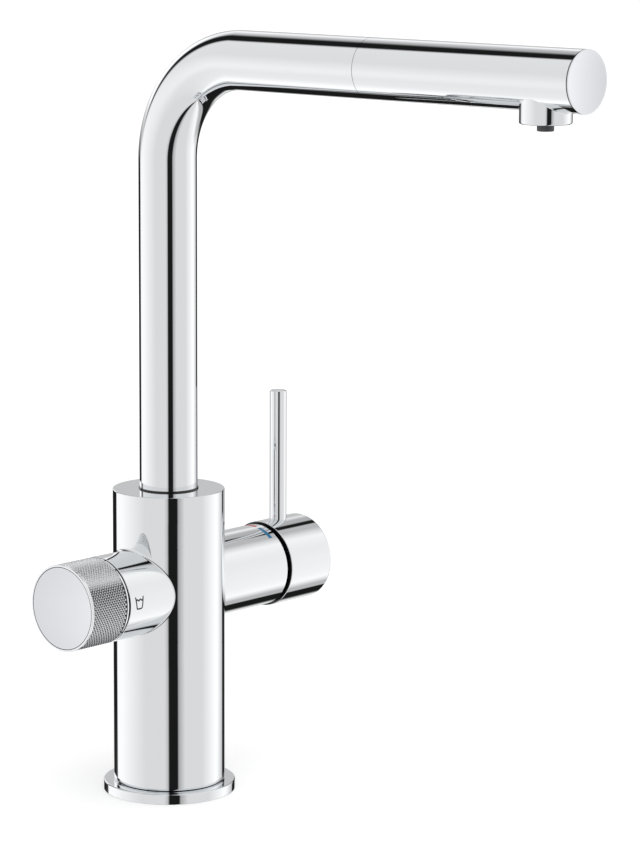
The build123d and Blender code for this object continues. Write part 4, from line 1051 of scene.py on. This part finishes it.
def connector():
    """Tapered brass connector behind the head, which the spout's dock guides."""
    tail = -CONNECTOR_HIGH.y
    front = -CONNECTOR_LOW.y
    bm = spun(
        [
            (CONNECTOR_BORE, tail),
            (CONNECTOR_TAIL_RADIUS, tail),
            (CONNECTOR_RADIUS, tail + CONNECTOR_TAPER),
            (CONNECTOR_RADIUS, front),
            (CONNECTOR_BORE, front),
        ],
        SLIM_TURN_STEPS,
    )
    round_rim(bm, CONNECTOR_TAIL_RADIUS, tail, CONNECTOR_EDGE)
    true_edges(
        finish_piece(bm, "connector_stem", "pull_out_head", "raw_brass", "hose_connector", SPOUT_LINE)
    )


body_skin()
slide_ring()
base_plate()
threaded_shank()
black_ring()
handle()
lever()
knurled_knob()
knob_disc()
tumbler_sign()
temperature_marks()
spout()
head()
nozzle()
connector()

for row in frame["record"]["subparts"]:
    for material_slot in frame["nodes"][row["node"]].material_slots:
        material_slot.material = FINISHES[row["material_slot"]]


# Floor, studio and camera

FLOOR_RADIUS = 12.0
FLOOR_STEPS = 64
FLOOR_COLOUR = "#F4F4F4"
FLOOR_LIFT = 0.2
SUN_LEVEL = 0.75
SUN_SPREAD = math.radians(60)
SUN_TILT = (math.radians(24), math.radians(-14), 0)
SKY_LEVEL = 0.84
BACKDROP_LEVEL = 1.05

# The camera, fitted to the tap's edges: place in millimetres, sizes in pixels of the photograph. The sensor's
# width lies along the photograph's height, its longer side.
CAMERA_PLACE = (-1078.8, -1051.5, 428.8)
CAMERA_HEADING = math.radians(-46.87)
CAMERA_DIP = math.radians(8.45)
CAMERA_SHIFT = (0.1, -0.1)
FOCAL_PIXELS = 3437.9
PHOTO_HEIGHT = 844

# What the chrome mirrors. Each fade has a name, a kind, a measure, the measure's start and end, and the
# levels before and after. A name in place of a number is what an earlier fade gives. The measure "turn" is
# the heading in degrees from the photograph's side, positive to the picture's right, "aside" is the same
# to either side, and "height" runs from -1 straight below to 1 straight above.
FACING = math.radians(-45)
ROOM_LEVEL = 0.81
PANEL_LEVEL = 1.2
BLACK_LEVEL = 0.012
STUDIO_FADES = (
    ("left low rise", "LINEAR", "aside", 50, 104, ROOM_LEVEL, 0.97),
    ("left low panel", "LINEAR", "aside", 104, 122, "left low rise", PANEL_LEVEL),
    ("left low fall", "LINEAR", "aside", 128, 134, "left low panel", 1.0),
    ("left low shade", "LINEAR", "aside", 134, 144, "left low fall", 0.24),
    ("left low", "SMOOTHSTEP", "aside", 150, 154, "left low shade", BLACK_LEVEL),
    ("left panel", "LINEAR", "height", -0.15, 0.3, 1.14, 0.86),
    ("left rise", "LINEAR", "aside", 50, 112, ROOM_LEVEL, "left panel"),
    ("left middle", "SMOOTHSTEP", "aside", 134, 139, "left rise", BLACK_LEVEL),
    ("left high black", "SMOOTHSTEP", "aside", 121, 131, "left rise", BLACK_LEVEL),
    ("left far start", "LINEAR", "height", 0.1, 0.7, 131, 152),
    ("left far full", "LINEAR", "height", 0.1, 0.7, 139, 168),
    ("left far level", "LINEAR", "height", 0.4, 0.65, PANEL_LEVEL, 0.5),
    (
        "left high",
        "SMOOTHSTEP",
        "aside",
        "left far start",
        "left far full",
        "left high black",
        "left far level",
    ),
    ("left lower half", "LINEAR", "height", -0.45, -0.25, "left low", "left middle"),
    ("left", "LINEAR", "height", -0.1, 0.1, "left lower half", "left high"),
    ("right low rise", "LINEAR", "aside", 71, 108, ROOM_LEVEL, 1.13),
    ("right low fall", "LINEAR", "aside", 109, 123, "right low rise", 0.55),
    ("right low black", "SMOOTHSTEP", "aside", 133, 137, "right low fall", BLACK_LEVEL),
    ("right low wall", "LINEAR", "height", -0.62, -0.48, BLACK_LEVEL, 0.9),
    ("right low", "SMOOTHSTEP", "aside", 156, 166, "right low black", "right low wall"),
    ("right rise", "LINEAR", "aside", 71, 112, ROOM_LEVEL, PANEL_LEVEL),
    ("right fall", "LINEAR", "aside", 117, 137, "right rise", 0.72),
    ("right black", "SMOOTHSTEP", "aside", 140, 144, "right fall", BLACK_LEVEL),
    ("right middle", "SMOOTHSTEP", "aside", 158, 170, "right black", 0.5),
    ("right high rise", "LINEAR", "aside", 71, 108, ROOM_LEVEL, 1.05),
    ("right high fall", "LINEAR", "aside", 111, 131, "right high rise", 0.55),
    ("right high black", "SMOOTHSTEP", "aside", 142.5, 146.5, "right high fall", BLACK_LEVEL),
    ("right high wall", "SMOOTHSTEP", "aside", 153.5, 158, "right high black", 0.5),
    ("right high", "LINEAR", "aside", 166, 175, "right high wall", 1.1),
    ("right lower half", "LINEAR", "height", -0.45, -0.25, "right low", "right middle"),
    ("right", "LINEAR", "height", 0.0, 0.35, "right lower half", "right high"),
    ("left of flag", "LINEAR", "turn", -10, -4, "left", 0.6),
    ("flag", "SMOOTHSTEP", "turn", -4.2, -0.2, "left of flag", BLACK_LEVEL),
    ("right of flag", "LINEAR", "turn", 18, 32, 0.42, "right"),
    ("around", "SMOOTHSTEP", "turn", 15.8, 19.3, "flag", "right of flag"),
    ("far low", "LINEAR", "height", -0.42, -0.32, "around", 0.6),
    ("far", "LINEAR", "height", 0.32, 0.42, "far low", "around"),
    ("mirrored", "SMOOTHSTEP", "aside", 164, 171, "around", "far"),
)


def studio():
    """Light all round: plain white behind the tap, and the panels and flags that the chrome mirrors."""
    world = bpy.data.worlds.new("studio")
    bpy.context.scene.world = world
    world.use_nodes = True
    tree = world.node_tree
    tree.nodes.clear()
    gaze = add(tree, "ShaderNodeTexCoord").outputs["Generated"]
    facing = add(
        tree, "ShaderNodeVectorRotate", {"rotation_type": "Z_AXIS"}, Vector=gaze, Angle=math.pi / 2 - FACING
    )
    axes = add(tree, "ShaderNodeSeparateXYZ", Vector=facing.outputs["Vector"]).outputs
    heading = add(tree, "ShaderNodeMath", {"operation": "ARCTAN2"}, _0=axes["Y"], _1=axes["X"])
    turn = add(tree, "ShaderNodeMath", {"operation": "DEGREES"}, _0=heading.outputs[0])
    aside = add(tree, "ShaderNodeMath", {"operation": "ABSOLUTE"}, _0=turn.outputs[0])
    known = {"turn": turn.outputs[0], "aside": aside.outputs[0], "height": axes["Z"]}
    for name, change, *values in STUDIO_FADES:
        measure, start, end, before, after = (known.get(value, value) for value in values)
        fade = add(
            tree,
            "ShaderNodeMapRange",
            {"interpolation_type": change},
            Value=measure,
            From_Min=start,
            From_Max=end,
            To_Min=before,
            To_Max=after,
        )
        known[name] = fade.outputs["Result"]

    rays = add(tree, "ShaderNodeLightPath").outputs
    bounced = add(
        tree,
        "ShaderNodeMath",
        {"operation": "MAXIMUM"},
        _0=rays["Is Glossy Ray"],
        _1=rays["Is Transmission Ray"],
    )
    lit = add(
        tree, "ShaderNodeMapRange", Value=bounced.outputs[0], To_Min=SKY_LEVEL, To_Max=known["mirrored"]
    )
    seen = add(
        tree,
        "ShaderNodeMapRange",
        Value=rays["Is Camera Ray"],
        To_Min=lit.outputs["Result"],
        To_Max=BACKDROP_LEVEL,
    )
    glow = add(tree, "ShaderNodeBackground", Color=linear("#FFFFFF"), Strength=seen.outputs["Result"])
    output = add(tree, "ShaderNodeOutputWorld")
    tree.links.new(glow.outputs[0], output.inputs["Surface"])


def floor():
    """Pale floor that keeps the tap's soft shadow; mirrors look past it to the studio."""
    bm = bmesh.new()
    bmesh.ops.create_circle(bm, cap_ends=True, segments=FLOOR_STEPS, radius=FLOOR_RADIUS)
    mesh = bpy.data.meshes.new("floor")
    bm.to_mesh(mesh)
    bm.free()
    ground = bpy.data.objects.new("floor", mesh)
    bpy.context.scene.collection.objects.link(ground)
    ground.visible_glossy = False
    material, tree, output = new_material("matt_white_floor")
    matt = add(tree, "ShaderNodeBsdfDiffuse", Color=linear(FLOOR_COLOUR))
    seen = add(tree, "ShaderNodeLightPath").outputs["Is Camera Ray"]
    lift = add(tree, "ShaderNodeMath", {"operation": "MULTIPLY"}, _0=seen, _1=FLOOR_LIFT)
    glow = add(tree, "ShaderNodeEmission", Strength=lift.outputs[0])
    both = add(tree, "ShaderNodeAddShader", _0=matt.outputs[0], _1=glow.outputs[0])
    tree.links.new(both.outputs[0], output.inputs["Surface"])
    mesh.materials.append(material)


def soft_sun():
    """One broad lamp from above, for a soft shadow."""
    lamp = bpy.data.lights.new("soft_lamp", "SUN")
    lamp.energy = SUN_LEVEL
    lamp.angle = SUN_SPREAD
    holder = bpy.data.objects.new("soft_lamp", lamp)
    bpy.context.scene.collection.objects.link(holder)
    holder.rotation_euler = SUN_TILT
    holder.visible_glossy = False


def camera():
    """Camera at the photograph's viewing angle."""
    view = bpy.data.cameras.new("camera")
    eye = bpy.data.objects.new("camera", view)
    bpy.context.scene.collection.objects.link(eye)
    view.lens = FOCAL_PIXELS / PHOTO_HEIGHT * view.sensor_width
    view.shift_x, view.shift_y = CAMERA_SHIFT
    eye.location = Vector(CAMERA_PLACE) * MM
    eye.rotation_euler = (math.pi / 2 - CAMERA_DIP, 0, CAMERA_HEADING)
    bpy.context.scene.camera = eye


studio()
floor()
soft_sun()
camera()
bpy.context.scene.view_settings.view_transform = "Standard"
